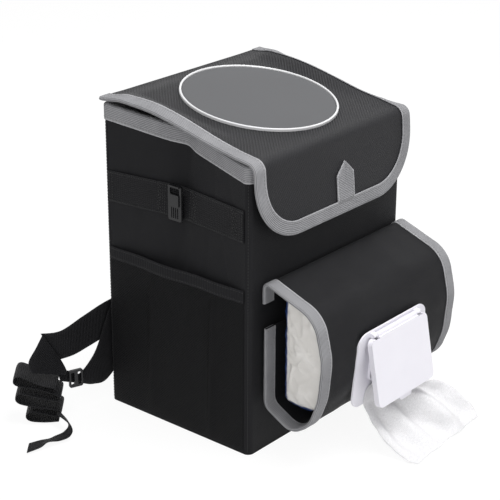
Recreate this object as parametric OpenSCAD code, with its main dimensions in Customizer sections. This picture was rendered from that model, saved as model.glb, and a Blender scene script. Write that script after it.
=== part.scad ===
// Soft-sided car trash bin with a flip lid, side mesh pockets and a front pocket for wipes.
// Millimetres. X runs right along the front, Y towards the back, Z up.
// The origin is the centre of the underside of the bin.

/* [Bin] */
// Width of the bin from side to side
bin_w = 225; // [205:1:245]
// Depth of the bin from front to back
bin_d = 175; // [165:1:190]
// Height of the walls at the back
back_h = 300; // [290:1:312]
// Height of the walls at the front
front_h = 277; // [268:1:284]
// Radius of the four upright corners
corner_r = 6; // [5:0.5:9]
// Thickness of the outer cloth
cloth_t = 1.0; // [0.8:0.1:1.4]
// Thickness of the stiffening boards
board_t = 2.0; // [1.5:0.1:2.5]
// Thickness of the waterproof liner
liner_t = 0.6; // [0.5:0.1:0.9]
// Gap left between two layers that lie on each other
layer_gap = 0.15; // [0.1:0.05:0.2]
// How far the side panels fold in at the rim
crease_depth = 18; // [12:1:22]
// How quickly the fold in the side panels fades towards the base
crease_rise = 1.8; // [1.4:0.1:2.4]
// Softness of the ridge of that fold
crease_soft = 6; // [3:1:10]

/* [Binding tape] */
// Thickness of the grey binding tape
tape_t = 0.7; // [0.5:0.1:1]
// Width of the tape on the outside of the rim
rim_tape_w = 14; // [11:1:17]
// Width of the tape on the lid and the wipes pocket
edge_tape_w = 12.5; // [10:0.5:15]

/* [Lid] */
// Width of the lid measured over the cloth
lid_w = 227; // [226:1:234]
// Distance of the front flap from the front panel at the fold
lid_front = 7; // [6.5:0.5:9]
// Radius of the fold above the front flap
fold_r = 10; // [8:0.5:12]
// Length of the front flap below the fold
flap_len = 67; // [62:1:76]
// How far the hanging flap leans away from the front panel in degrees
flap_lean = 5; // [2:0.5:7]
// Radius of the two lower corners of the flap
flap_corner_r = 55; // [40:1:58]
// Thickness of the lid where its board is
lid_t = 3.7; // [3.2:0.1:3.9]
// Thickness of the lid lining
lining_t = 0.6; // [0.5:0.1:0.8]
// Height of the lid's hinge seam above the back wall
hinge_rise = 5.8; // [5.6:0.1:6.6]
// Extra height of the lid in front of the hinge seam
crown = 3.9; // [3.6:0.1:5]
// How much steeper the top of the lid is than the rim in degrees
lid_pitch = 0.77; // [0.4:0.01:0.8]
// How steeply the left margin of the lid droops at most, in degrees
droop_left = 13; // [8:1:15]
// How steeply the right margin hangs down beside the bin at most, in degrees
droop_right = 34; // [28:1:36]
// How far the side margins arch up behind the middle
arch = 8; // [5:0.5:9]
// How far the stiff board in the lid reaches beyond the badge
board_over = 2; // [2:0.5:6]
// Width of the pull tab
tab_w = 25; // [18:1:30]
// Length of the pull tab that shows
tab_len = 36; // [25:1:42]
// Distance of the pull tab from the middle of the lid
tab_x = 9; // [-20:1:20]
// Thickness of the folded pull tab
tab_t = 1.6; // [1.2:0.1:2]
// Width of the hook and loop patches that hold the flap
catch_w = 60; // [40:1:80]
// Height of those patches
catch_h = 20; // [15:1:22]
// Thickness of one hook or loop patch
catch_t = 1.3; // [1:0.1:1.5]

/* [Badge] */
// Radius of the round badge over its rim
badge_r = 74.5; // [60:0.5:76]
// Width of the raised rim
badge_rim_w = 2.2; // [2:0.2:3.4]
// Thickness of the badge inside its rim
badge_t = 1.8; // [1.2:0.1:2.4]
// Height of the raised rim
badge_rim_h = 2.8; // [2.5:0.1:3.4]
// Place of the badge, measured forward of the hinge seam
badge_s = 91; // [86:1:94]
// Distance of the badge from the middle of the lid
badge_x = 3.5; // [0:0.5:5]

/* [Side bands and mesh pockets] */
// Width of the webbing sewn round the sides
band_w = 30; // [25:1:34]
// Height of the top edge of the webbing
band_top = 238; // [225:1:245]
// Thickness of the webbing
band_t = 1.5; // [1.2:0.1:1.8]
// Width of the clip on the webbing
clip_w = 16; // [14:1:20]
// Thickness of the clip's plastic
clip_t = 2.2; // [1.8:0.1:2.6]
// How far the clip reaches below the webbing
clip_below = 1.8; // [1.8:0.1:4]
// Distance of the clip behind the middle of the side
clip_y = 3.5; // [0:0.5:6]
// Height of the top of the mesh pockets
mesh_top = 163; // [140:1:180]
// Height of the elastic hem on the mesh
hem_h = 12; // [9:1:15]
// Thickness of the mesh
mesh_t = 0.8; // [0.6:0.1:1]
// Thickness of the elastic hem
hem_t = 1.6; // [1.4:0.1:2]
// Depth of the soft folds in the mesh
mesh_fold = 1.2; // [0.4:0.1:1.6]

/* [Wipes pocket] */
// Left end of the pocket
pocket_left = -95; // [-100:1:-85]
// Right end of the pocket
pocket_right = 112; // [105:1:116]
// Thickness of the pocket wall
wrap_t = 1.6; // [1.3:0.1:2]
// Height of the pocket's fold above the wipes
pocket_top = 169; // [166:1:172]
// Height of the upper edge of the flat face that carries the dispenser
face_high = 108; // [104:1:112]
// Height of the lower edge of that face
face_low = 70; // [67:1:72]
// How far the lower edge of that face stands behind the foremost line
face_lean = 3.5; // [2:0.5:5]
// Height of the bend between the pocket's roof and its front
pocket_brow = 148; // [146:1:151]
// How far that bend stands behind the foremost line of the pocket
pocket_shoulder = 9.5; // [8:0.5:11]
// Reach of the pocket in front of the bin
pocket_reach = 69; // [67:0.5:72]
// How far the lower front corner stands behind the foremost line
pocket_tuck = 13.5; // [12:0.5:15]
// Height of the lower front corner
pocket_low = 43; // [41:1:45]
// Height of the lowest fold
pocket_keel = 29; // [27:1:31]
// Distance of that fold behind the lower front corner
keel_back = 21; // [18:1:23]
// Rise of the underside from that fold to the front panel
keel_lift = 17; // [14:1:19]
// Height of the end that turns up behind the wipes
pocket_end = 123; // [112:1:130]
// Length of the wipes pack
pack_len = 186; // [176:1:190]
// Distance of the pack's flat back from the front panel
pack_stand = 15.5; // [13:0.5:18]
// Height of the underside of the pack
pack_foot = 49; // [48:0.5:52]
// Space between the pack and the pocket wall round it
pack_gap = 0.4; // [0.3:0.1:1.5]

/* [Dispenser] */
// Width of the dispenser base
plate_w = 106; // [98:1:112]
// Height of the dispenser base
plate_h = 76; // [75:1:79]
// Thickness of the dispenser base
plate_t = 1.8; // [1.6:0.1:2.2]
// Radius of the corners of the dispenser base
plate_corner_r = 13; // [8:1:15]
// Width of the dispenser lid
cap_w = 87; // [85:1:90]
// Height of the dispenser lid from its hinge to its lower edge
cap_h = 67; // [66:1:68]
// Depth of the dispenser lid
cap_d = 5.2; // [5:0.1:6]
// Wall of the dispenser lid
cap_wall = 1.5; // [1.2:0.1:1.6]
// Angle at which the dispenser lid stands open
cap_open = 16; // [12:1:20]
// Width of the mouth
mouth_w = 62; // [50:1:66]
// Height of the mouth
mouth_h = 28; // [24:1:30]
// Radius of the hinge pin
pin_r = 1.2; // [1:0.1:1.4]
// Running clearance round the hinge pin
pin_gap = 0.06; // [0.04:0.01:0.1]
// Middle of the dispenser across the front
plate_x = 6.5; // [0:0.5:8]
// Height of the middle of the dispenser
plate_z = 80; // [78:0.5:82]
// Distance of the hinge line below the upper edge of the base
hinge_edge = 3.6; // [3.4:0.1:4.2]

/* [Straps] */
// Width of the hanging strap
strap_w = 36; // [30:1:38]
// Thickness of the hanging strap
strap_t = 1.4; // [1.2:0.1:1.5]
// How far the loose straps reach out beside the bin
strap_reach = 130; // [122:1:140]

/* [Hidden] */

$fn = 64;

black = [0.07, 0.07, 0.075];
grey = [0.55, 0.55, 0.56];
white = [0.93, 0.93, 0.95];

front_y = -bin_d / 2;
back_y = bin_d / 2;
fold_half = bin_d / 2 - corner_r;
board_in = cloth_t + layer_gap;
liner_in = board_in + board_t + layer_gap;
liner_z = cloth_t + board_t + 2 * layer_gap;
wall_stack = liner_in + liner_t;
tape_out = layer_gap + tape_t;

// Plain mathematics

function mix(a, b, t) = a + (b - a) * t;
function clamp01(t) = min(1, max(0, t));
function ease(t) = let (c = clamp01(t)) c * c * (3 - 2 * c);
function bump(t) = abs(t) >= 1 ? 0 : (1 + cos(180 * t)) / 2;
function unit(v) = v / norm(v);

// A smooth curve through a list of points, with n steps between neighbours
function between(p0, p1, p2, p3, t) =
    (2 * p1 + (p2 - p0) * t + (2 * p0 - 5 * p1 + 4 * p2 - p3) * t * t
    + (3 * p1 - p0 - 3 * p2 + p3) * t * t * t) / 2;
function smooth_through(p, n) = concat(
    [for (i = [0:len(p) - 2], k = [0:n - 1])
        between(p[max(i - 1, 0)], p[i], p[i + 1], p[min(i + 2, len(p) - 1)], k / n)],
    [p[len(p) - 1]]);

// A polyline whose inner corners are rounded with the radii given for them
function corner_arc(a, b, c, r, n) =
    let (u = unit(a - b), v = unit(c - b), half = acos(u * v) / 2,
        centre = b + unit(u + v) * r / sin(half),
        first = b + u * r / tan(half) - centre,
        last = b + v * r / tan(half) - centre,
        from = atan2(first.y, first.x),
        turn = atan2(first.x * last.y - first.y * last.x, first * last))
    [for (k = [0:n]) centre + r * [cos(from + turn * k / n), sin(from + turn * k / n)]];
function round_path(p, radii, n) = concat([p[0]],
    [for (i = [1:len(p) - 2]) each corner_arc(p[i - 1], p[i], p[i + 1], radii[i - 1], n)],
    [p[len(p) - 1]]);

// The same path moved sideways, to the right of its direction of travel
function path_side(p, i) =
    let (d = unit(p[min(i + 1, len(p) - 1)] - p[max(i - 1, 0)])) [d.y, -d.x];
function shifted(p, o) = [for (i = [0:len(p) - 1]) p[i] + o * path_side(p, i)];
function reversed(p) = [for (i = [len(p) - 1:-1:0]) p[i]];

// Sheets and swept sections

// Normal of a grid of points, across its rows and columns
function grid_normal(g, i, j) = unit(cross(
    g[min(i + 1, len(g) - 1)][j] - g[max(i - 1, 0)][j],
    g[i][min(j + 1, len(g[0]) - 1)] - g[i][max(j - 1, 0)]));
function lowered(g, t) = [for (i = [0:len(g) - 1])
    [for (j = [0:len(g[0]) - 1]) g[i][j] - t * grid_normal(g, i, j)]];

// Closed solid between two grids of the same size, the first one on the outside
module between_grids(outer, inner) {
    rows = len(outer);
    cols = len(outer[0]);
    half = rows * cols;
    points = concat([for (row = outer) each row], [for (row = inner) each row]);
    cells = [for (i = [0:rows - 2], j = [0:cols - 2])
        let (a = i * cols + j, b = a + cols, c = a + 1, d = b + 1)
        each [[a, d, b], [a, c, d], [half + a, half + b, half + d], [half + a, half + d, half + c]]];
    ends = [for (i = [0:rows - 2])
        let (a = i * cols, b = a + cols, c = a + cols - 1, d = c + cols)
        each [[a, b, half + b], [a, half + b, half + a], [c, half + d, d], [c, half + c, half + d]]];
    sides = [for (j = [0:cols - 2])
        let (a = j, b = a + 1, c = (rows - 1) * cols + j, d = c + 1)
        each [[b, a, half + a], [b, half + a, half + b], [d, half + c, c], [d, half + d, half + c]]];
    polyhedron(points = points, faces = concat(cells, ends, sides), convexity = 6);
}

// Closed sheet whose outer face is the grid
module sheet(grid, t) {
    between_grids(grid, lowered(grid, t));
}

// Closed solid through rings of points, capped at both ends with the given faces. The strips
// that begin at the ring's points named in crossed are split along their other diagonal.
module through_rings(rings, first_cap, last_cap, crossed = []) {
    size = len(rings[0]);
    top = (len(rings) - 1) * size;
    walls = [for (k = [0:len(rings) - 2], m = [0:size - 1])
        let (a = k * size + m, b = k * size + (m + 1) % size, c = b + size, d = a + size)
        each len(search(m, crossed)) > 0 ? [[a, d, b], [d, c, b]] : [[a, d, c], [a, c, b]]];
    closing = [for (face = last_cap) [for (m = reversed(face)) top + m]];
    polyhedron(points = [for (ring = rings) each ring],
        faces = concat(walls, first_cap, closing), convexity = 8);
}

// The same with its last ring joined to its first
module round_rings(rings) {
    size = len(rings[0]);
    count = len(rings);
    walls = [for (k = [0:count - 1], m = [0:size - 1])
        let (a = k * size + m, b = k * size + (m + 1) % size,
            c = ((k + 1) % count) * size + (m + 1) % size, d = ((k + 1) % count) * size + m)
        each [[a, d, c], [a, c, b]]];
    polyhedron(points = [for (ring = rings) each ring], faces = walls, convexity = 10);
}

// End faces of a U-shaped section of eight points
u_cap = [[0, 1, 6], [0, 6, 7], [1, 2, 5], [1, 5, 6], [2, 3, 4], [2, 4, 5]];

// A flat profile drawn in Y and Z, run along X
module along_x(from, to) {
    translate([from, 0, 0]) rotate([90, 0, 90]) linear_extrude(to - from) children();
}

module rounded_rect(w, h, r) {
    for (sx = [-1, 1], sy = [-1, 1])
        translate([sx * (w / 2 - r), sy * (h / 2 - r)]) circle(r);
    square([w, h - 2 * r], center = true);
    square([w - 2 * r, h], center = true);
}

// The wall of the bin: its fold, its rim and a loop of points round it

function rim_z(y) = mix(front_h, back_h, clamp01((y + fold_half) / (2 * fold_half)));
function fold_in(y, z) = abs(y) >= fold_half ? 0 :
    crease_depth * pow(max(z, 0) / rim_z(y), crease_rise)
    * (1 - norm([y, crease_soft]) / norm([fold_half, crease_soft]));

side_steps = 10;
side_y = [for (i = [0:side_steps]) mix(-fold_half, fold_half, i / side_steps)];
inner_side_y = [for (i = [1:side_steps - 1]) side_y[i]];
corner_steps = 4;

// Corners in turn round the wall: x side, y side, angle at which the corner begins
wall_corners = [[-1, -1, 180], [1, -1, 270], [1, 1, 0], [-1, 1, 90]];
function corner_point(c, k, o) =
    let (a = wall_corners[c][2] + 90 * k / corner_steps)
    [wall_corners[c].x * (bin_w / 2 - corner_r) + (corner_r - o) * cos(a),
     wall_corners[c].y * (bin_d / 2 - corner_r) + (corner_r - o) * sin(a)];

// Points round the wall, o inside its outer face and at the heights given by
// a share s between the height low and the rim less drop
function wall_height(y, s, low, drop) = mix(low, rim_z(y) - drop, s);
function corner_ring(c, o, s, low, drop) = [for (k = [0:corner_steps])
    let (p = corner_point(c, k, o)) [p.x, p.y, wall_height(p.y, s, low, drop)]];
function side_point(side, y, o, z) = [side * (bin_w / 2 - o - fold_in(y, z)), y, z];
function side_ring(side, ys, o, s, low, drop) = [for (y = ys)
    side_point(side, y, o, wall_height(y, s, low, drop))];
function wall_ring(o, s, low, drop) = concat(
    corner_ring(0, o, s, low, drop), corner_ring(1, o, s, low, drop),
    side_ring(1, inner_side_y, o, s, low, drop),
    corner_ring(2, o, s, low, drop), corner_ring(3, o, s, low, drop),
    side_ring(-1, reversed(inner_side_y), o, s, low, drop));

// Bin panels

module footprint(o) {
    rounded_rect(bin_w - 2 * o, bin_d - 2 * o, corner_r - min(o, corner_r - 1));
}

module base_panel() {
    color(black) linear_extrude(cloth_t) footprint(0);
}

// A panel that turns round two corners, sign -1 for the front and 1 for the back
module end_panel(sign, h) {
    translate([0, 0, cloth_t]) linear_extrude(h - cloth_t) difference() {
        footprint(0);
        footprint(cloth_t);
        translate([-bin_w, sign > 0 ? -bin_d : -fold_half]) square([2 * bin_w, bin_d + fold_half]);
    }
}

module front_panel() {
    color(black) end_panel(-1, front_h);
}

module back_panel() {
    color(black) end_panel(1, back_h);
}

gusset_rows = 7;
function gusset_grid(o, from_z, drop) = [for (i = [0:gusset_rows]) [for (y = side_y)
    side_point(1, y, o, wall_height(y, i / gusset_rows, from_z, drop))]];

module gusset() {
    between_grids(reversed(gusset_grid(0, cloth_t, 0)), reversed(gusset_grid(cloth_t, cloth_t, 0)));
}

module left_gusset() {
    color(black) mirror([1, 0, 0]) gusset();
}

module right_gusset() {
    color(black) gusset();
}

board_drop = 4;

module base_board() {
    color("dimgray") translate([0, 0, cloth_t + layer_gap]) linear_extrude(board_t)
        footprint(liner_in);
}

module wall_board(sign, h) {
    color("dimgray") translate([0, sign * (bin_d / 2 - board_in - board_t / 2), 0])
        translate([corner_r - bin_w / 2, -board_t / 2, cloth_t + layer_gap])
        cube([bin_w - 2 * corner_r, board_t, h - board_drop - cloth_t - layer_gap]);
}

module front_board() {
    wall_board(-1, front_h);
}

module back_board() {
    wall_board(1, back_h);
}

liner_rows = 6;

module liner() {
    outer = [for (i = [0:liner_rows]) wall_ring(liner_in, i / liner_rows, liner_z, 0)];
    inner = [for (i = [liner_rows:-1:0])
        wall_ring(wall_stack, i / liner_rows, liner_z + liner_t, 0)];
    size = len(outer[0]);
    // Across the bin, the right half of a ring is joined to the left half
    half = size / 2;
    right = [for (k = [0:half - 1]) corner_steps + 1 + k];
    left = [for (k = [0:half - 1]) (corner_steps - k + size) % size];
    floor = [for (k = [0:half - 2])
        each [[right[k], right[k + 1], left[k + 1]], [right[k], left[k + 1], left[k]]]];
    color("gray") through_rings(concat(outer, inner), floor, floor);
}

// Tape folded over the rim of the cloth and the liner
rim_gap = 0.3;
rim_out = rim_gap + tape_t;

module rim_binding() {
    legs = [
        [-rim_out, rim_tape_w], [-rim_out, -rim_out],
        [wall_stack + rim_out, -rim_out], [wall_stack + rim_out, rim_tape_w],
        [wall_stack + rim_gap, rim_tape_w], [wall_stack + rim_gap, -rim_gap],
        [-rim_gap, -rim_gap], [-rim_gap, rim_tape_w]
    ];
    loops = [for (leg = legs) wall_ring(leg[0], 1, 0, leg[1])];
    color(grey) round_rings([for (k = [len(loops[0]) - 1:-1:0]) [for (loop = loops) loop[k]]]);
}

// Webbing bands with their clips

band_gap = 0.4;
band_out = band_gap + band_t;
band_rows = 3;
band_grid = [for (i = [0:band_rows]) [for (y = side_y)
    side_point(1, y, -band_out, mix(band_top - band_w, band_top, i / band_rows))]];

module band() {
    sheet(reversed(band_grid), band_t);
}

module left_band() {
    color(black) mirror([1, 0, 0]) band();
}

module right_band() {
    color(black) band();
}

// Plastic clip hooked over the webbing in the fold of the side panel: a frame with a thumb pad
// in the middle, an open window above it and a grating below it
clip_lip_h = 1.6;
clip_lip_d = 1;
clip_top = band_top + layer_gap + clip_lip_h;
clip_h = clip_top - (band_top - band_w) + clip_below;
clip_face = bin_w / 2 - fold_in(clip_y + clip_w / 2, clip_top - clip_h) + band_out + 2 * layer_gap;
clip_bar = 2.4;
clip_window_h = 6;
clip_pad = [11, 11.5, 1.2];
clip_slot_w = 1.2;
clip_slots = 4;
clip_ledge = 1.4;
clip_pad_top = clip_h / 2 - clip_bar - clip_window_h;
clip_slot_h = clip_h - 2 * clip_bar - clip_window_h - clip_pad.y - 1;

module clip_openings() {
    translate([0, clip_pad_top + clip_window_h / 2])
        rounded_rect(clip_w - 2 * clip_bar, clip_window_h, 1.2);
    for (k = [0:clip_slots - 1])
        translate([(k - (clip_slots - 1) / 2) * 2 * clip_slot_w, clip_bar - clip_h / 2 + clip_slot_h / 2])
            square([clip_slot_w, clip_slot_h], center = true);
}

module clip() {
    translate([clip_face, clip_y, clip_top - clip_h / 2]) {
        rotate([90, 0, 90]) linear_extrude(clip_t) difference() {
            rounded_rect(clip_w, clip_h, 2);
            clip_openings();
        }
        translate([clip_t, 0, clip_pad_top - clip_pad.y / 2]) rotate([90, 0, 90])
            linear_extrude(clip_pad.z) rounded_rect(clip_pad.x, clip_pad.y, 1.2);
        translate([clip_t, 2 - clip_w / 2, clip_h / 2 - clip_lip_h])
            cube([clip_ledge, clip_w - 4, clip_lip_h]);
        for (z = [-clip_h / 2, clip_h / 2 - clip_lip_h])
            translate([-clip_lip_d, 2 - clip_w / 2, z]) cube([clip_lip_d, clip_w - 4, clip_lip_h]);
    }
}

module left_clip() {
    color("black") mirror([1, 0, 0]) clip();
}

module right_clip() {
    color("black") clip();
}

// Mesh pockets with an elastic hem

mesh_rows = 6;
mesh_low = cloth_t + 0.5;
mesh_cols = 20;
mesh_y = [for (j = [0:mesh_cols]) mix(-fold_half, fold_half, j / mesh_cols)];
mesh_seam = 0.3;
function mesh_wave(y, z) =
    let (t = y / fold_half, h = clamp01((z - mesh_low) / mesh_top))
    mesh_fold * (1 - t * t) * (1 + sin(400 * t + 40 * h)) * (0.35 + 0.65 * h);
function mesh_point(y, z, o) = [bin_w / 2 + mesh_seam + mesh_wave(y, z) + o, y, z];

module mesh_pocket() {
    grid = [for (i = [mesh_rows:-1:0]) [for (y = mesh_y)
        mesh_point(y, mix(mesh_low, mesh_top - hem_h - layer_gap, i / mesh_rows), mesh_t)]];
    between_grids(grid, [for (row = grid) [for (p = row) p - [mesh_t, 0, 0]]]);
}

module hem() {
    grid = [for (i = [1:-1:0]) [for (y = mesh_y)
        let (z = mix(mesh_top - hem_h, mesh_top, i), edge = mesh_top - hem_h - layer_gap)
        [mesh_point(y, edge, hem_t).x, y, z]]];
    between_grids(grid, [for (row = grid) [for (p = row) p - [hem_t, 0, 0]]]);
}

module left_mesh_pocket() {
    color([0.1, 0.1, 0.11]) mirror([1, 0, 0]) mesh_pocket();
}

module right_mesh_pocket() {
    color([0.1, 0.1, 0.11]) mesh_pocket();
}

module left_hem() {
    color(black) mirror([1, 0, 0]) hem();
}

module right_hem() {
    color(black) hem();
}

// Lid: one stiff sheet from the hinge seam over the rim and down in front

hinge_gap = 0.6;
lid_slope = lid_pitch + atan((back_h - front_h) / (2 * fold_half));
hinge_y = back_y + rim_out + hinge_gap;
hinge_z = back_h + hinge_rise;
crown_run = 26;
margin = edge_tape_w;
half_w = lid_w / 2;
board_edge = badge_x + badge_r + board_over;
thin_t = cloth_t + layer_gap + lining_t;

// Where the margins arch most, and how far the arch runs behind and in front of that
arch_s = 64;
arch_back = 75;
arch_front = 100;

// How far from the hinge and from the flap the right margin takes to hang down
hang_back = 60;
hang_front = 80;
hang_past = 12;

fold_y = front_y - lid_front + fold_r * cos(flap_lean);
fold_start_y = fold_y - fold_r * sin(lid_slope);
top_len = (hinge_y - fold_start_y) / cos(lid_slope);
fold_z = hinge_z + crown - (hinge_y - fold_start_y) * tan(lid_slope) - fold_r * cos(lid_slope);
fold_turn = 90 - lid_slope - flap_lean;
fold_len = fold_r * fold_turn * PI / 180;
lid_len = top_len + fold_len + flap_len;
flap_top = [fold_y - fold_r * cos(flap_lean), fold_z + fold_r * sin(flap_lean)];
flap_s = top_len + fold_len;
corner_s = lid_len - flap_corner_r;

// Middle line of the lid's outer face in Y and Z, and its direction out
function lid_angle(s) = s < top_len ? 90 + lid_slope
    : min(180 - flap_lean, 90 + lid_slope + (s - top_len) / fold_r * 180 / PI);
function lid_out(s) = [cos(lid_angle(s)), sin(lid_angle(s))];
function lid_line(s) =
    s < top_len ? [hinge_y - s * cos(lid_slope),
        hinge_z - s * sin(lid_slope) + crown * ease(s / crown_run)]
    : s < flap_s ? [fold_y, fold_z] + fold_r * lid_out(s)
    : flap_top + (s - flap_s) * [-sin(flap_lean), -cos(flap_lean)];

function arch_at(s) = bump((s - arch_s) / (s < arch_s ? arch_back : arch_front));
function margin_lift(s, x) = arch * arch_at(s)
    * ease((abs(x) - board_edge) / (half_w - margin - board_edge));

// How steeply a margin droops s along the lid, with the right one flat where it rests on the rim
function hang_at(s) = ease(s / hang_back) * ease((top_len + hang_past - s) / hang_front);
function droop_at(s, x) = x < 0 ? droop_left * arch_at(s) : droop_right * hang_at(s);

// Point of the lid s along it, x across it and o above its outer face
function lid_surface(s, x) =
    let (past = max(0, abs(x) - (half_w - margin)), n = lid_out(s), a = droop_at(s, x),
        p = lid_line(s) + n * (margin_lift(s, x) - past * sin(a)),
        across = abs(x) - past * (1 - cos(a)))
    [x < 0 ? -across : across, p[0], p[1]];
lid_probe = 0.4;
function lid_normal(s, x) = unit(cross(
    lid_surface(s + lid_probe, x) - lid_surface(s - lid_probe, x),
    lid_surface(s, x + lid_probe) - lid_surface(s, x - lid_probe)));
function lid_point(s, x, o) = lid_surface(s, x) + o * lid_normal(s, x);

// Half width of the lid s along it
function lid_half(s) = s <= corner_s ? half_w
    : half_w - flap_corner_r + sqrt(max(0, pow(flap_corner_r, 2) - pow(s - corner_s, 2)));

corner_cuts = [15, 30, 45, 60, 75, 90];
board_start = 9;
board_end = top_len - 5;
top_rows = concat([0, board_start, 18, crown_run],
    [for (s = [crown_run + 11:12:board_end - 8]) s], [board_end, top_len]);
fold_rows = [for (k = [1:4]) mix(top_len, flap_s, k / 4)];
side_rows = concat(top_rows, fold_rows, [mix(flap_s, corner_s, 0.5), corner_s]);
lid_rows = concat(side_rows, [for (a = corner_cuts) corner_s + flap_corner_r * sin(a)]);

function lid_columns(s) = let (h = lid_half(s), m = h - margin, b = m * board_edge / (half_w - margin))
    [-h, -m, -b, -b / 2, 0, b / 2, b, m, h];

// Depth of the lining's inner face, which drops to clear the board
function over_board(s, x) = abs(x) <= board_edge + 0.01 && s >= board_start && s <= board_end;
function lid_depth(s, x) = over_board(s, x) ? lid_t : thin_t;

module lid_cover() {
    color(black) between_grids(
        [for (s = lid_rows) [for (x = lid_columns(s)) lid_point(s, x, 0)]],
        [for (s = lid_rows) [for (x = lid_columns(s)) lid_point(s, x, -cloth_t)]]);
}

module lid_lining() {
    color(black) between_grids(
        [for (s = lid_rows) [for (x = lid_columns(s)) lid_point(s, x, lining_t - lid_depth(s, x))]],
        [for (s = lid_rows) [for (x = lid_columns(s)) lid_point(s, x, -lid_depth(s, x))]]);
}

// Board inside the top of the lid
board_rows = [for (s = top_rows) if (s >= board_start && s <= board_end) s];

module lid_board() {
    over = -cloth_t - layer_gap;
    under = lining_t - lid_t + layer_gap;
    across = [for (k = [-2:2]) k * board_edge / 2];
    color("dimgray") between_grids(
        [for (s = board_rows) [for (x = across) lid_point(s, x, over)]],
        [for (s = board_rows) [for (x = across) lid_point(s, x, under)]]);
}

// Stations of the binding as pairs of lid places, the cut edge and the inner edge
left_side = [for (s = side_rows) [[s, -half_w], [s, margin - half_w]]];
function corner_place(r, a, sign) =
    [corner_s + r * sin(a), sign * (half_w - flap_corner_r + r * cos(a))];
function corner_stations(sign) = [for (a = corner_cuts)
    [corner_place(flap_corner_r, a, sign), corner_place(flap_corner_r - margin, a, sign)]];
right_side = [for (p = reversed(left_side)) [for (q = p) [q[0], -q[1]]]];
binding_stations = concat(left_side, corner_stations(-1), reversed(corner_stations(1)), right_side);
under_gap = 0.45;
under_short = 3.5;

function binding_ring(outer, inner) =
    let (d = unit(outer - inner), mid = (outer + inner) / 2,
        n = lid_normal(mid[0], mid[1]),
        edge = lid_surface(outer[0], outer[1]), root = lid_surface(inner[0], inner[1]),
        away = unit(edge - root), heel = root + away * under_short,
        low = -thin_t - under_gap)
    [root + n * tape_out, edge + away * tape_out + n * tape_out,
     edge + away * tape_out + n * (low - tape_t), heel + n * (low - tape_t),
     heel + n * low, edge + away * layer_gap + n * low,
     edge + away * layer_gap + n * layer_gap, root + n * layer_gap];

module lid_binding() {
    color(grey) through_rings([for (p = binding_stations) binding_ring(p[0], p[1])], u_cap, u_cap, [4]);
}

// Places a flat thing on the flap: x across, y up the flap, z out from it
module on_flap() {
    translate([0, flap_top[0], flap_top[1]]) rotate([90 - flap_lean, 0, 0]) children();
}

tab_foot = margin - flap_len + layer_gap;

module pull_tab() {
    color(grey) on_flap() translate([tab_x, tab_foot, layer_gap]) linear_extrude(tab_t)
        polygon([[-tab_w / 2, 0], [tab_w / 2, 0], [tab_w / 2, tab_len - tab_w / 2],
            [0, tab_len], [-tab_w / 2, tab_len - tab_w / 2]]);
}

catch_foot = margin - flap_len + 4;

module flap_hook() {
    color(black) on_flap()
        translate([-catch_w / 2, catch_foot, -thin_t - layer_gap - catch_t])
        cube([catch_w, catch_h, catch_t]);
}

catch_z = flap_top[1] + catch_foot * cos(flap_lean);

module flap_catch() {
    color(black) translate([-catch_w / 2, front_y - layer_gap - catch_t, catch_z])
        cube([catch_w, catch_t, catch_h]);
}

// Places a flat thing on the lid's top at the badge's middle
module on_lid() {
    middle = lid_line(badge_s);
    translate([badge_x, middle[0], middle[1]]) rotate([lid_slope, 0, 0]) children();
}

module badge_face() {
    r = badge_r - badge_rim_w - layer_gap;
    color([0.4, 0.4, 0.41]) on_lid() translate([0, 0, layer_gap])
        rotate_extrude($fn = 96) polygon([[0, 0], [r, 0], [r, badge_t - 0.8], [r - 0.8, badge_t],
            [0, badge_t]]);
}

module badge_rim() {
    color([0.8, 0.8, 0.8]) on_lid() translate([0, 0, layer_gap])
        rotate_extrude($fn = 96) translate([badge_r - badge_rim_w / 2, 0]) {
            translate([-badge_rim_w / 2, 0]) square([badge_rim_w, badge_rim_h - badge_rim_w / 2]);
            translate([0, badge_rim_h - badge_rim_w / 2]) circle(badge_rim_w / 2);
        }
}

// Wipes pocket: one strip sewn to the front panel that loops round the wipes

wrap_seat = front_y - tape_out - layer_gap;
strip_seat = front_y - layer_gap;
strip_t = 1.3;
stub_len = 22;
return_y = strip_seat - 2 * strip_t - 2 * layer_gap;
reach_y = front_y - pocket_reach;
low_y = reach_y + pocket_tuck;
face_top = [reach_y, face_high];
face_foot = [reach_y + face_lean, face_low];
pocket_corners = [
    [wrap_seat, pocket_top - stub_len], [wrap_seat, pocket_top], [reach_y + pocket_shoulder, pocket_brow],
    face_top, face_foot, [low_y, pocket_low], [low_y + keel_back, pocket_keel],
    [return_y, pocket_keel + keel_lift], [return_y, pocket_end]
];
pocket_radii = [5, 22, 30, 40, 14, 10, 12];
pocket_steps = 5;
pocket_path = round_path(pocket_corners, pocket_radii, pocket_steps);

module pocket_band(over, under) {
    polygon(concat(shifted(pocket_path, over), reversed(shifted(pocket_path, -under))));
}

// Places a flat thing on the pocket's front: x across, y up the face, z out from it
face_tilt = atan(face_lean / (face_high - face_low));
face_y = mix(face_foot.x, face_top.x, (plate_z - face_low) / (face_high - face_low));
function on_face_point(p) = [plate_x + p.x,
    face_y - p.y * sin(face_tilt) - p.z * cos(face_tilt),
    plate_z + p.y * cos(face_tilt) - p.z * sin(face_tilt)];

module on_face() {
    translate([plate_x, face_y, plate_z]) rotate([90 + face_tilt, 0, 0]) children();
}

window_rim = 6;
window_r = 8;

module pocket_wrap() {
    color(black) difference() {
        along_x(pocket_left, pocket_right) pocket_band(0, wrap_t);
        on_face() translate([0, 0, -wrap_t - 3]) linear_extrude(wrap_t + 6)
            rounded_rect(mouth_w + 2 * window_rim, mouth_h + 2 * window_rim, window_r);
    }
}

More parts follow.
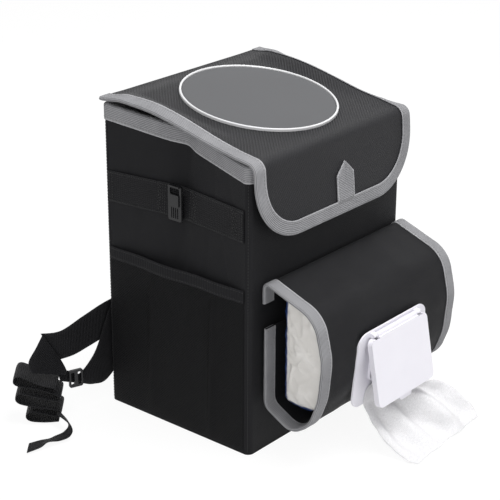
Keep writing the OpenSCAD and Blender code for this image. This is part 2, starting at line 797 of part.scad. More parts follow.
module pocket_tape() {
    difference() {
        along_x(-tape_out, edge_tape_w) pocket_band(tape_out, wrap_t + tape_out);
        along_x(-layer_gap, edge_tape_w + 1) pocket_band(layer_gap, wrap_t + layer_gap);
    }
}

module pocket_binding_left() {
    color(grey) translate([pocket_left, 0, 0]) pocket_tape();
}

module pocket_binding_right() {
    color(grey) translate([pocket_right, 0, 0]) mirror([1, 0, 0]) pocket_tape();
}

// Hook and loop strips that close the pocket behind the wipes
strip_h = 25;
strip_left = pocket_left + edge_tape_w + 2;
strip_len = pocket_right - pocket_left - 2 * edge_tape_w - 4;
strip_z = pocket_end - strip_h - 4;

module pocket_loop_strip() {
    color("dimgray") translate([strip_left, strip_seat - strip_t, strip_z])
        cube([strip_len, strip_t, strip_h]);
}

module pocket_hook_strip() {
    color("dimgray") translate([strip_left, strip_seat - 2 * strip_t - layer_gap, strip_z])
        cube([strip_len, strip_t, strip_h]);
}

// Wipes pack: a soft block whose front swells against the pocket

pack_back = front_y - pack_stand;
pack_mid = (pocket_left + pocket_right) / 2;
pack_inside = shifted(pocket_path, -wrap_t - pack_gap);
// The underside sags between the back and the front
pack_sag = 2;
function pack_floor(y) = let (t = 2 * (y - pack_back) / (low_y - pack_back) - 1)
    pack_foot - pack_sag * max(0, 1 - t * t);
// Points of the pocket's path from the end of its roof to its lower front corner
pack_first = pocket_steps + 2;
pack_last = pack_first + 4 * (pocket_steps + 1) - 2;
pack_roof = pack_inside[pack_first] + (pack_back - pack_inside[pack_first].x)
    * [1, (pocket_top - pocket_brow) / (wrap_seat - reach_y - pocket_shoulder)];
pack_outline = concat([[pack_back, pack_foot], [pack_back, pack_roof.y]],
    [for (k = [pack_first:2:pack_last])
        [pack_inside[k].x, max(pack_inside[k].y, pack_floor(pack_inside[k].x))]],
    [for (t = [0.75, 0.5, 0.25]) let (y = mix(pack_back, low_y, t)) [y, pack_floor(y)]]);
pack_centre = [(pack_back + reach_y) / 2, (pack_foot + pocket_brow) / 2];
// Rings along the pack: share of the half length, size of the section
pack_rings = [[-1, 0.86], [-0.985, 0.93], [-0.93, 0.965], [-0.75, 0.99], [-0.35, 1],
    [0.35, 1], [0.75, 0.99], [0.93, 0.965], [0.985, 0.93], [1, 0.86]];

module wipes_pack() {
    whole = [[for (m = [0:len(pack_outline) - 1]) m]];
    color(white) through_rings([for (ring = pack_rings) [for (p = pack_outline)
        let (q = mix(pack_centre, p, ring[1])) [pack_mid + ring[0] * pack_len / 2, q.x, q.y]]],
        whole, whole);
}

// Dispenser: a base with a collar round its mouth, and a hinged lid

hinge_up = plate_h / 2 - hinge_edge;
barrel_wall = 1;
barrel_lift = 0.4;
barrel_room = 3;
barrel_r = pin_r + barrel_wall;
hinge_out = plate_t + barrel_lift + barrel_r;
mouth_r = 7;
collar_wall = 1.6;
collar_h = 2.4;
ear_t = 6;
ear_gap = 0.3;
barrel_inset = 13;
barrel_len = cap_w - 2 * barrel_inset;
ear_x = barrel_len / 2 + ear_gap + ear_t / 2;
plate_seat = 2 * layer_gap;

module dispenser_base() {
    color(white) on_face() translate([0, 0, plate_seat]) difference() {
        union() {
            linear_extrude(plate_t) rounded_rect(plate_w, plate_h, plate_corner_r);
            linear_extrude(plate_t + collar_h)
                rounded_rect(mouth_w + 2 * collar_wall, mouth_h + 2 * collar_wall, mouth_r + collar_wall);
            for (x = [-ear_x, ear_x]) translate([x - ear_t / 2, hinge_up, 0]) {
                translate([0, 0, hinge_out]) rotate([0, 90, 0]) cylinder(h = ear_t, r = barrel_r);
                translate([0, -barrel_r, 0]) cube([ear_t, 2 * barrel_r, hinge_out]);
            }
        }
        translate([0, 0, -1]) linear_extrude(plate_t + collar_h + 2)
            rounded_rect(mouth_w, mouth_h, mouth_r);
        translate([-cap_w / 2, hinge_up, hinge_out]) rotate([0, 90, 0])
            cylinder(h = cap_w, r = pin_r + pin_gap);
    }
}

// The lid is drawn closed on its hinge line, then turned to where it stands open
cap_seat = 1.2;
cap_head = 2;
cap_corner_r = 6;
cap_low = plate_t + cap_seat - hinge_out;
latch = [18, 7, 2];
knuckle_web = 3.4;

module cap_outline(inset) {
    translate([0, -(cap_h + cap_head) / 2])
        rounded_rect(cap_w - 2 * inset, cap_h - cap_head - 2 * inset, cap_corner_r - inset);
}

module cap_shell() {
    difference() {
        translate([0, 0, cap_low]) linear_extrude(cap_d) cap_outline(0);
        translate([0, 0, cap_low - 1]) linear_extrude(cap_d - cap_wall + 1) cap_outline(cap_wall);
        for (x = [-ear_x, ear_x])
            translate([x, 0, 0])
                cube([ear_t + 2 * ear_gap, 2 * barrel_r + barrel_room, 4 * cap_d], center = true);
        translate([-barrel_len / 2, -barrel_r - barrel_room, cap_low - 1])
            cube([barrel_len, barrel_r + barrel_room, -cap_low + 1]);
    }
}

module dispenser_lid() {
    color(white) on_face() translate([0, hinge_up, plate_seat + hinge_out]) rotate([-cap_open, 0, 0]) {
        cap_shell();
        translate([-barrel_len / 2, 0, 0]) rotate([0, 90, 0]) cylinder(h = barrel_len, r = barrel_r);
        translate([-barrel_len / 2, -knuckle_web, 0]) cube([barrel_len, knuckle_web, barrel_r]);
        translate([-ear_x - ear_t / 2, 0, 0]) rotate([0, 90, 0])
            cylinder(h = 2 * ear_x + ear_t, r = pin_r);
        translate([0, -cap_h - latch.y / 6, cap_low + 1]) linear_extrude(latch.z)
            rounded_rect(latch.x, latch.y, 2.5);
    }
}

// The wipe that hangs out of the mouth, a thin sheet with a few deep folds

wipe_t = 0.4;
wipe_cols = 16;
plate_face = plate_seat + plate_t;
function on_plate(x, up, out) = on_face_point([x, up, plate_face + out]);
// Place x from the middle of the dispenser, out in front of the pocket and up from the floor
function before(x, out, up) = [plate_x + x, reach_y - out, up];
// Rows of the wipe: its left edge, its right edge and the depth of its folds
wipe_line = [
    [on_plate(-22, 3, -1.8), on_plate(22, 3, -1.8), 0],
    [on_plate(-23, -3, 1.2), on_plate(23, -3, 1.2), 0],
    [on_plate(-25, -8, collar_h + 0.8), on_plate(25, -8, collar_h + 0.8), 0],
    [on_plate(-28, -17, collar_h + 0.8), on_plate(28, -17, collar_h + 0.8), 0],
    [on_plate(-31, -21, 1.2), on_plate(31, -21, 1.2), 0],
    [on_plate(-34, -26, 0.7), on_plate(34, -26, 0.7), 0],
    [on_plate(-35, -33, 0.7), on_plate(36, -33, 0.7), 0],
    [on_plate(-35, -38.5, 1.3), on_plate(38, -38.5, 1.3), 0],
    [before(-35.5, 0.5, 35), before(41.5, 3.5, 37), 1.5],
    [before(-38.5, 8.5, 25), before(59.5, 11.5, 35), 4],
    [before(-37.5, 18.5, 12), before(69.5, 20.5, 28), 6],
    [before(-36.5, 33.5, 4), before(74.5, 31.5, 19), 6],
    [before(-36.5, 47.5, 1.5), before(80.5, 42.5, 8), 4],
    [before(-32.5, 56.5, 1.2), before(77.5, 50.5, 1.2), 1.5]
];
wipe_rows = smooth_through(wipe_line, 2);
function wipe_point(row, t) =
    let (p = mix(row[0], row[1], t), wave = sin(1100 * t + 60) + 0.5 * sin(620 * t))
    [p.x, p.y - 0.8 * row[2] * wave, max(p.z + 0.5 * row[2] * wave, wipe_t + 0.3)];

module wipe() {
    color(white) sheet([for (row = wipe_rows) [for (j = [0:wipe_cols])
        wipe_point(row, j / wipe_cols)]], wipe_t);
}

// Hanging strap: webbing sewn to the back, its loose end folded into a bundle beside the bin

// Ribbon given by the two edges of its rows
module ribbon(rows, n) {
    grid = [for (row = smooth_through(rows, n)) [row[0], mix(row[0], row[1], 0.5), row[1]]];
    sheet(grid, strap_t);
}

side_x = -bin_w / 2;
strap_y = back_y + layer_gap;
patch = [60, 1.2, 60];
// The loose straps are drawn for a reach of 130 beside the bin
strap_scale = strap_reach / 130;
// Place out beside the left panel, behind the back panel and up from the floor
function beside(out, back, up) = [side_x, back_y, 0] + [-out, back, up] * strap_scale;
upper_z = 84;
upper_top = upper_z + strap_w / 2;
upper_foot = upper_z - strap_w / 2;
upper_lap = 14;
upper_start = patch.x / 2 - upper_lap;

module strap_patch() {
    color(black) translate([-patch.x / 2, strap_y, upper_z - patch.z / 2]) cube(patch);
}

module upper_strap() {
    out = strap_y + patch.y + 2 * layer_gap;
    color(black) {
        ribbon([
            [[-upper_start, out, upper_top], [-upper_start, out, upper_foot]],
            [[-patch.x / 2 - 2, out, upper_top], [-patch.x / 2 - 2, out, upper_foot]],
            [[side_x + 42, out + 2.5, upper_top], [side_x + 42, out + 2.5, upper_foot]],
            [[side_x + 2.5, out + 2.5, upper_top], [side_x + 2.5, out + 2.5, upper_foot]],
            [beside(26.5, 7.5, 95), beside(21.5, 6.5, 62)],
            [beside(51.5, 12.5, 87), beside(39.5, 8.5, 59)],
            [beside(69.5, 20.5, 88), beside(53.5, 14.5, 57)]], 3);
        ribbon([
            [beside(69.5, 17.5, 88), beside(52.5, 12, 57)],
            [beside(77.5, 18.5, 77), beside(49.5, 10.5, 49)],
            [beside(87.5, 18.5, 66), beside(48.5, 9.5, 44)],
            [beside(87.5, 15.5, 56), beside(51.5, 8.5, 42)]], 3);
    }
}

module lower_strap() {
    in = strap_y + strap_t;
    color(black) ribbon([
        [beside(54.5, 16.5, 46), beside(55.5, 12.5, 36)],
        [beside(41.5, 11.5, 42), beside(43.5, 10.5, 31)],
        [beside(33.5, 9.5, 37), beside(33.5, 9.5, 27)],
        [beside(22.5, 5.5, 48), beside(18.5, 6.5, 21)],
        [beside(13.5, 3.5, 62), beside(0.5, 4, 22)],
        [[side_x - 0.5, in + 0.6, 91], [side_x + 28.5, in + 0.6, 50]],
        [[side_x + 16.5, in, 116], [side_x + 46.5, in, 92]]], 3);
}

// Rows of the bundle as places along it and heights; each row lies away from the viewer
bundle_wide = 0.8 * strap_w;
bundle_along = [0.64, -0.77, 0];
bundle_across = [0.71, 0.59, 0.08];
bundle_rows = [
    [16, 37], [0, 41], [-18, 49], [-23, 46], [-20, 41], [0, 37], [15, 32], [20, 28], [16, 24],
    [0, 27], [-17, 31], [-22, 27], [-18, 22], [0, 18], [15, 16], [20, 12], [15, 8], [0, 11],
    [-9, 12], [-13, 8], [-9, 4], [4, 3], [17, 4]
];

// The free end curls out from under the bundle and lies on the floor
tail_rows = [
    [beside(73.5, -0.5, 13), beside(65.5, 4.5, 12)],
    [beside(76.5, -19.5, 12), beside(69.5, -10.5, 9)],
    [beside(79.5, -28.5, 8), beside(74.5, -17.5, 6)],
    [beside(86.5, -30.5, 4), beside(82.5, -18.5, 3)],
    [beside(96.5, -27.5, 3), beside(91.5, -16.5, 2)],
    [beside(108.5, -25.5, 6), beside(98.5, -16.5, 2.2)],
    [beside(115.5, -23.5, 3), beside(106.5, -12.5, 2.4)],
    [beside(129.5, -19.5, 1.8), beside(116.5, -8.5, 2)]
];

module strap_bundle() {
    color(black) {
        ribbon([for (row = bundle_rows)
            let (p = beside(81.5, 13.5, row[1]) + row[0] * strap_scale * bundle_along)
            [p, p + bundle_wide * bundle_across]], 2);
        ribbon(tail_rows, 3);
    }
}

// Slide that shortens the strap: a frame with a middle bar
slide = [14, 18, 2.6];
slide_place = beside(40.5, 7.3, 36);

module strap_slider() {
    color("black") translate(slide_place) rotate([90, 0, -20]) linear_extrude(slide.z) difference() {
        rounded_rect(slide.x, slide.y, 2);
        for (x = [-1, 1]) translate([x * slide.x / 4, 0]) rounded_rect(slide.x / 4, slide.y - 5, 1);
    }
}

base_panel();
front_panel();
back_panel();
left_gusset();
right_gusset();
base_board();
front_board();
back_board();
liner();
rim_binding();
left_band();
right_band();
left_clip();
right_clip();
left_mesh_pocket();
right_mesh_pocket();
left_hem();
right_hem();
flap_catch();
pocket_wrap();
pocket_binding_left();
pocket_binding_right();
pocket_hook_strip();
pocket_loop_strip();
wipes_pack();
dispenser_base();
wipe();
strap_patch();
upper_strap();
lower_strap();
strap_bundle();
strap_slider();
lid_cover();
lid_board();
lid_lining();
lid_binding();
pull_tab();
badge_face();
badge_rim();
flap_hook();
dispenser_lid();
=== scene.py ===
import contextlib
import math

import bmesh
import bpy
import numpy as np
from mathutils import Matrix, Vector, noise


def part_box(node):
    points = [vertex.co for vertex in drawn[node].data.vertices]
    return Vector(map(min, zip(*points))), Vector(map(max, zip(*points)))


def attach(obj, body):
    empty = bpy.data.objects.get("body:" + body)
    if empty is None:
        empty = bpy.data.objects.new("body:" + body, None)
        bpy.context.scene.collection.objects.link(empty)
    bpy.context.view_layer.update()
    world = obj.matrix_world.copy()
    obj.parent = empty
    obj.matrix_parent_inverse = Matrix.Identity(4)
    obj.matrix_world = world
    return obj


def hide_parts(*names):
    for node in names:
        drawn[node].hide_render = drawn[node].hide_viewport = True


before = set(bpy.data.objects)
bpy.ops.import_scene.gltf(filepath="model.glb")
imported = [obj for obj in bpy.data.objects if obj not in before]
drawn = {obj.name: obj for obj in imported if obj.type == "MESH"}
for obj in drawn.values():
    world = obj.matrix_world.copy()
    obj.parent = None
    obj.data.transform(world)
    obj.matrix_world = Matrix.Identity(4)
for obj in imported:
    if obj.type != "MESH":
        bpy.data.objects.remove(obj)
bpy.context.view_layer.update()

# ---- Camera, floor and light ----
# The camera stands to the left of the front and a little above the lid, as in the photograph.
# The floor is plain and pale, and soft light comes from above and in front.
def shown(name, data):
    """A new object in the scene."""
    made = bpy.data.objects.new(name, data)
    bpy.context.scene.collection.objects.link(made)
    return made


azimuth, elevation, roll = (math.radians(a) for a in (-50.166, 22.445, 0.258))
sensor, focal_pixels, frame_pixels = 36, 1559.6, 500
back = Vector((math.sin(azimuth) * math.cos(elevation), -math.cos(azimuth) * math.cos(elevation),
               math.sin(elevation)))
level = Vector((math.cos(azimuth), math.sin(azimuth), 0))
upward = back.cross(level)
right = level * math.cos(roll) + upward * math.sin(roll)
top = upward * math.cos(roll) - level * math.sin(roll)
camera = shown("camera", bpy.data.cameras.new("camera"))
camera.data.sensor_width = sensor
camera.data.lens = sensor * focal_pixels / frame_pixels
camera.matrix_world = Matrix.Translation((-1.066361, -0.883357, 0.716711)) @ \
    Matrix((right, top, back)).transposed().to_4x4()
bpy.context.scene.camera = camera
bpy.context.scene.view_settings.view_transform = "Standard"


def wired(tree, node, inputs):
    """Sets a node's inputs, which may be numbers or other sockets."""
    for key, value in dict(inputs).items():
        if isinstance(value, bpy.types.NodeSocket):
            tree.links.new(value, node.inputs[key])
        else:
            node.inputs[key].default_value = value
    return node


def put(tree, kind, props=(), inputs=()):
    """A node in a tree, with its settings and its inputs."""
    made = tree.nodes.new(kind)
    for key, value in dict(props).items():
        setattr(made, key, value)
    return wired(tree, made, inputs)


def reckoned(tree, operation, *values, clamp=False):
    """The outcome of a sum on two or three values."""
    return put(tree, "ShaderNodeMath", {"operation": operation, "use_clamp": clamp},
               dict(enumerate(values))).outputs[0]


def ranged(tree, value, low, high, start=0.0, end=1.0):
    """A value from start to end, brought to low to high."""
    return put(tree, "ShaderNodeMapRange", (), {"Value": value, "From Min": start, "From Max": end,
                                                "To Min": low, "To Max": high}).outputs[0]


def seen_directly(tree):
    """One for rays that come from the camera, a mirror or glass, else zero."""
    path = put(tree, "ShaderNodeLightPath").outputs
    seen = reckoned(tree, "MAXIMUM", path["Is Camera Ray"], path["Is Glossy Ray"])
    return reckoned(tree, "MAXIMUM", seen, path["Is Transmission Ray"])


world = bpy.data.worlds.new("studio")
bpy.context.scene.world = world
world.use_nodes = True
tree = world.node_tree
tree.nodes.clear()
sky = put(tree, "ShaderNodeBackground", (), {
    "Color": (1, 1, 1, 1), "Strength": ranged(tree, seen_directly(tree), 0.36, 1.0)})
put(tree, "ShaderNodeOutputWorld", (), {"Surface": sky.outputs[0]})

floor = shown("floor", bpy.data.meshes.new("floor"))
floor.data.from_pydata([(-9, -9, -0.0003), (9, -9, -0.0003), (9, 9, -0.0003), (-9, 9, -0.0003)],
                       [], [(0, 1, 2, 3)])
floor_paint = bpy.data.materials.new("floor_paint")
floor_paint.use_nodes = True
tree = floor_paint.node_tree
tree.nodes.clear()
shade = put(tree, "ShaderNodeBsdfDiffuse", (), {"Color": (0.8, 0.8, 0.8, 1)})
glow = put(tree, "ShaderNodeEmission", (), {"Color": (1, 1, 1, 1), "Strength": 1.08})
blended = put(tree, "ShaderNodeMixShader", (), {
    0: reckoned(tree, "MULTIPLY", seen_directly(tree), 0.85), 1: shade.outputs[0], 2: glow.outputs[0]})
put(tree, "ShaderNodeOutputMaterial", (), {"Surface": blended.outputs[0]})
floor.data.materials.append(floor_paint)

for lamp_name, place, size, power in (
        ("front_softbox", (-0.35, -1.5, 1.5), 1.3, 5.5),
        ("top_softbox", (0.3, -0.4, 1.9), 1.0, 30),
        ("side_softbox", (-1.6, -0.8, 1.0), 0.9, 9)):
    lamp = shown(lamp_name, bpy.data.lights.new(lamp_name, "AREA"))
    lamp.data.shape = "SQUARE"
    lamp.data.size = size
    lamp.data.energy = power
    lamp.location = place
    lamp.rotation_euler = (Vector((0, 0, 0.12)) - Vector(place)).to_track_quat("-Z", "Y").to_euler()

# ---- Outer cloth of the bin ----
# Coated woven polyester, cut as a front, a back, two sides and a base and sewn inside out.
# Front and back turn round the corners; the sides fold inwards towards the rim.
# Sizes are in millimetres as on the drawing, and become metres where a mesh is made.
mm = 0.001
width, depth = 225.0, 175.0
front_high, back_high = 277.0, 300.0
corner_round = 6.0
cloth_thick = 1.0
half_wide, half_deep = width / 2, depth / 2
straight = half_deep - corner_round


def rim_height(y):
    share = min(1.0, max(0.0, (y + straight) / (2 * straight)))
    return front_high + (back_high - front_high) * share


def fold_depth(y, z, crease=4.5):
    """How far the side panel folds in at that place, and its crease in the middle."""
    if abs(y) >= straight:
        return 0.0
    ridge = math.hypot(y, 4) / math.hypot(straight, 4)
    return (max(z, 0) / rim_height(y)) ** 1.8 * (18 * (1 - ridge) + crease * math.exp(-(y / 11) ** 2))


def soft(x, y, z, size, seed=0):
    """Smooth random height from -1 to 1 with features about size millimetres wide."""
    return noise.noise(Vector((x / size + 7.3 * seed, y / size - 3.1 * seed, z / size + 1.7 * seed)))


def ease(t):
    t = min(1.0, max(0.0, t))
    return t * t * (3 - 2 * t)


def along(points, closed=False):
    """Length along each row of a grid, in millimetres."""
    if closed:
        points = np.concatenate([points, points[:, :1]], axis=1)
    steps = np.linalg.norm(np.diff(points, axis=1), axis=2)
    return np.concatenate([np.zeros((len(points), 1)), np.cumsum(steps, axis=1)], axis=1)


@contextlib.contextmanager
def reshaping(mesh, result=None):
    """Opens a mesh to change its shape, and writes it back or to another mesh."""
    shape = bmesh.new()
    shape.from_mesh(mesh)
    yield shape
    shape.to_mesh(result or mesh)
    shape.free()


def smoothed(mesh, sharp):
    """Smooth shading, save at edges sharper than that many degrees."""
    mesh.shade_smooth()
    mesh.set_sharp_from_angle(angle=math.radians(sharp))


def faced_out(mesh):
    """Turns a closed mesh so that its faces point outwards."""
    mesh.calc_loop_triangles()
    corners = np.zeros(len(mesh.loop_triangles) * 3, int)
    mesh.loop_triangles.foreach_get("vertices", corners)
    places = np.zeros(len(mesh.vertices) * 3)
    mesh.vertices.foreach_get("co", places)
    a, b, c = places.reshape(-1, 3)[corners].reshape(-1, 3, 3).transpose(1, 0, 2)
    if (a * np.cross(b, c)).sum() < 0:
        mesh.flip_normals()


def wall(name, outer, inner, ring=False, pole=False, across=None, sharp=50, **marks):
    """Closed wall between two grids of points: rows of points, the outer side first.
    ring joins the last column to the first; pole closes the last row, whose points are one."""
    outer, inner = np.asarray(outer, float), np.asarray(inner, float)
    rows, cols = outer.shape[:2]
    half = rows * cols
    wide = cols if ring else cols - 1
    i, j = np.meshgrid(np.arange(rows - 1), np.arange(wide), indexing="ij")
    i, j = i.ravel(), j.ravel()
    k = (j + 1) % cols
    cell = np.stack([i * cols + j, (i + 1) * cols + j, (i + 1) * cols + k, i * cols + k], 1)
    u = along(outer, ring) if across is None else across
    v = along(outer.transpose(1, 0, 2)).T
    v = np.concatenate([v, v[:, :1]], axis=1) if ring else v

    def map_at(r, c):
        return np.stack([u[r, c], v[r, c]], -1)

    def close(a, b, map_a, map_b, turned):
        """Joins the two sides of the wall along one of its edges, from a to b."""
        edge, strip = np.stack([a, b, b + half, a + half], 1), np.stack([map_a, map_b, map_b, map_a], 1)
        faces.append(edge[:, ::-1] if turned else edge)
        places.append(strip[:, ::-1] if turned else strip)

    cell_map = np.stack([map_at(i, j), map_at(i + 1, j), map_at(i + 1, j + 1), map_at(i, j + 1)], 1)
    faces, places = [cell, cell[:, ::-1] + half], [cell_map, cell_map[:, ::-1]]
    j = np.arange(wide)
    for r in ([0] if pole else [0, rows - 1]):
        close(r * cols + j, r * cols + (j + 1) % cols, map_at(r, j), map_at(r, j + 1), r > 0)
    i = np.arange(rows - 1)
    for c in ([] if ring else [0, cols - 1]):
        close((i + 1) * cols + c, i * cols + c, map_at(i + 1, c), map_at(i, c), c > 0)
    faces, places = np.concatenate(faces), np.concatenate(places)
    points = np.concatenate([outer.reshape(-1, 3), inner.reshape(-1, 3)]) * mm
    mesh = bpy.data.meshes.new(name)
    mesh.from_pydata(points.tolist(), [], faces.tolist())
    layer = mesh.uv_layers.new(name="cloth")
    layer.data.foreach_set("uv", (places.reshape(-1, 2) * mm).ravel())
    for mark, values in marks.items():
        values = np.broadcast_to(values, (rows, cols)).ravel()
        attribute = mesh.attributes.new(mark, "FLOAT", "POINT")
        attribute.data.foreach_set("value", np.concatenate([values, values]).astype(np.float32))
    if pole:
        with reshaping(mesh) as shape:
            bmesh.ops.remove_doubles(shape, verts=shape.verts, dist=1e-6)
    faced_out(mesh)
    smoothed(mesh, sharp)
    return shown(name, mesh)


def grids(rows, cols, at):
    """What at gives for each row and column, as one grid for each thing that it gives."""
    cells = [[at(row, col) for col in cols] for row in rows]
    return [[[cell[k] for cell in line] for line in cells] for k in range(len(cells[0][0]))]


def sewn_wall(name, rows, cols, at):
    """Closed wall where at gives the outer place, the inner place and the wear of the seam."""
    outer, inner, seam = grids(rows, cols, at)
    return wall(name, outer, inner, seam=seam)


def normals(grid, ring=False):
    """Unit normal at each point of a grid."""
    grid = np.asarray(grid, float)
    down = np.gradient(grid, axis=0)
    if ring:
        padded = np.concatenate([grid[:, -1:], grid, grid[:, :1]], axis=1)
        over = (padded[:, 2:] - padded[:, :-2]) / 2
    else:
        over = np.gradient(grid, axis=1)
    n = np.cross(down, over)
    return n / np.maximum(np.linalg.norm(n, axis=2, keepdims=True), 1e-9)


def joined(name, *parts):
    """Several meshes as one piece."""
    bpy.ops.object.select_all(action="DESELECT")
    for part in parts:
        part.select_set(True)
    bpy.context.view_layer.objects.active = parts[0]
    bpy.ops.object.join()
    parts[0].name = parts[0].data.name = name
    return parts[0]


def coated(thing, material):
    thing.data.materials.clear()
    thing.data.materials.append(material)


def placed(piece, body, slot, *stands_for):
    """Fixes a piece on its body in place of the drawn nodes."""
    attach(piece, body)
    if stands_for:
        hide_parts(*stands_for)
    return piece


def fitted(piece, material, body, slot, *stands_for):
    """Gives a piece its finish and fixes it on its body in place of the drawn nodes."""
    coated(piece, material)
    return placed(piece, body, slot, *stands_for)


def stuff(name):
    """A new material, with its tree and its coordinates."""
    material = bpy.data.materials.new(name)
    material.use_nodes = True
    return material, material.node_tree, put(material.node_tree, "ShaderNodeTexCoord").outputs


def cloudy(tree, place, scale, detail=2.0, kind="FBM", **more):
    """Random tone over a surface."""
    return put(tree, "ShaderNodeTexNoise", {"noise_type": kind},
               {"Vector": place, "Scale": scale, "Detail": detail, **more}).outputs["Fac"]


def banded(tree, place, pitch, way="X", distortion=0.2, detail=2.0, detail_scale=1.0):
    """Even bands, one for every pitch metres along that way."""
    one_band = 0.44429 if way == "DIAGONAL" else 0.31416    # Scale that puts them a metre apart
    return put(tree, "ShaderNodeTexWave", {"bands_direction": way}, {
        "Vector": place, "Scale": one_band / pitch, "Distortion": distortion, "Detail": detail,
        "Detail Scale": detail_scale}).outputs["Fac"]


def mixed(tree, share, *colours):
    """A colour between two."""
    first, second = (c if isinstance(c, bpy.types.NodeSocket) else (*c, 1) for c in colours)
    return put(tree, "ShaderNodeMix", {"data_type": "RGBA"}, {0: share, 6: first, 7: second}).outputs[2]


def marked(tree, name):
    """A mark that the mesh carries, such as the wear of its seams."""
    return put(tree, "ShaderNodeAttribute", {"attribute_name": name}).outputs["Fac"]


def dressed(tree, colour, gloss, relief=None, more=()):
    """Sets the shader's colour and roughness, its relief as strength, depth and height, and more."""
    settings = {"Base Color": colour, "Roughness": gloss, **dict(more)}
    if relief:
        settings["Normal"] = put(tree, "ShaderNodeBump", (), dict(zip(
            ("Strength", "Distance", "Height"), relief))).outputs[0]
    wired(tree, tree.nodes["Principled BSDF"], settings)


def woven(name, dark, light, thread, roughness=0.75, shine=0.14, depth=0.00015, ribs=None, fade=0.15,
          twill=None):
    """Woven stuff on the cloth's own map: threads that cross, uneven dye and a seam that wears pale."""
    material, tree, place = stuff(name)
    waves = []
    for way, pitch in (("X", thread), ("Y", ribs or thread)):
        wave = banded(tree, place["UV"], pitch, way, 0.25, 1.0, 3.0)
        waves.append(reckoned(tree, "MULTIPLY_ADD", wave, 2.0, -1.0))
    crossing = reckoned(tree, "MULTIPLY_ADD", waves[0], 0.35, waves[1]) if ribs else \
        reckoned(tree, "MULTIPLY", *waves)
    if twill:
        slant = reckoned(tree, "MULTIPLY_ADD", banded(tree, place["UV"], twill, "DIAGONAL", 0.3, 1.0, 2.0),
                         3.0, -1.5)
        crossing = reckoned(tree, "MULTIPLY_ADD", crossing, 0.35,
                            reckoned(tree, "MULTIPLY", slant, marked(tree, "ribbed")))
    dye = cloudy(tree, place["Object"], 38.0, 5.0, Roughness=0.65)
    tone = ranged(tree, crossing, 0.1, 0.75, start=-1.0)
    uneven = reckoned(tree, "MULTIPLY_ADD", dye, 0.5, tone, clamp=True)
    colour = mixed(tree, reckoned(tree, "SUBTRACT", uneven, 0.2, clamp=True), dark, light)
    fuzz = cloudy(tree, place["Object"], 420.0)
    worn = reckoned(tree, "MULTIPLY", reckoned(tree, "MULTIPLY", marked(tree, "seam"), fuzz, clamp=True),
                    fade * 2)
    dressed(tree, mixed(tree, worn, colour, tuple(min(1, 2.2 * c + 0.02) for c in light)),
            ranged(tree, dye, roughness - 0.1, roughness + 0.1),
            (0.6, depth, reckoned(tree, "MULTIPLY_ADD", fuzz, 0.6, crossing)),
            {"Specular IOR Level": shine, "Sheen Weight": 0.03, "Sheen Roughness": 0.4})
    return material


oxford = woven("black_oxford_cloth", (0.0045, 0.0045, 0.0055), (0.0125, 0.0125, 0.0142), 0.0011,
               roughness=0.6)


def end_cloth(name, sign, high):
    """Front or back, from the side seam round one corner, across and round the other."""
    long = half_wide - corner_round
    corner = [(long + corner_round * math.cos(a), straight + corner_round * math.sin(a))
              for a in np.linspace(0, math.pi / 2, 9)]
    points = [(-x, y) for x, y in corner] + [(x, half_deep) for x in np.linspace(-long, long, 76)[1:-1]] + \
        corner[::-1]

    def at(z, k):
        (x, y), far = points[k], min(k, len(points) - 1 - k)
        sink = 0.22 * (1 - abs(soft(x, sign * y, z, 42, 3 if sign < 0 else 4))) * ease(far / 12)
        sink += 0.1 * abs(soft(x, y, z * 0.4, 7, 5)) * ease(1 - far / 8)
        nx, ny = (x - math.copysign(long, x), y - straight) if far < len(corner) else (0, 1)
        length = math.hypot(nx, ny) or 1
        nx, ny = nx / length, ny / length
        welt = 0.7 * math.exp(-((far - 1.2) / 1.1) ** 2) * ease((z - 2) / 6) * ease((high - 15 - z) / 3)
        sink -= welt
        return ((x - nx * sink, sign * (y - ny * sink), z),
                (x - nx * cloth_thick, sign * (y - ny * cloth_thick), z), 0.6 * ease(1 - abs(far - 6) / 4))

    return sewn_wall(name, np.linspace(cloth_thick, high, 84), range(len(points)), at)


fitted(end_cloth("front_cloth", -1, front_high), oxford, "bin", "black_cloth", "front_panel")
fitted(end_cloth("back_cloth", 1, back_high), oxford, "bin", "black_cloth", "back_panel")


def side_x(y, z, inside=0.0, crease=4.5):
    return half_wide - inside - fold_depth(y, z, crease)


def side_cloth(name, side):
    """A side, with the pull of the fold and soft creases where it fades out."""
    def at(share, y):
        z = cloth_thick + (rim_height(y) - cloth_thick) * share
        edge = straight - abs(y)
        free = ease(edge / 22) * ease((z - 2) / 20) * ease((rim_height(y) - z) / 30)
        sag = 0.8 * (1 + soft(y, z, side * 40, 38, 1)) + 0.5 * abs(soft(y, z * 0.5, side * 9, 16, 2))
        sag += 1.3 * (1 - abs(soft(y + 0.5 * z, z * 0.7 - y, side * 7, 44, 3))) ** 7 * ease(z / 90)
        pull = 0.12 * abs(soft(y * 0.6, z, side * 5, 6, 6)) * ease(1 - edge / 12)
        return ((side * (side_x(y, z) - 0.42 * sag * free - pull), y, z),
                (side * (side_x(y, z) - cloth_thick - 0.5 * free), y, z), 0.5 * ease(1 - edge / 3))

    return sewn_wall(name, np.linspace(0, 1, 90), np.linspace(-straight, straight, 72), at)


fitted(side_cloth("left_side_cloth", -1), oxford, "bin", "black_cloth", "left_gusset")
fitted(side_cloth("right_side_cloth", 1), oxford, "bin", "black_cloth", "right_gusset")


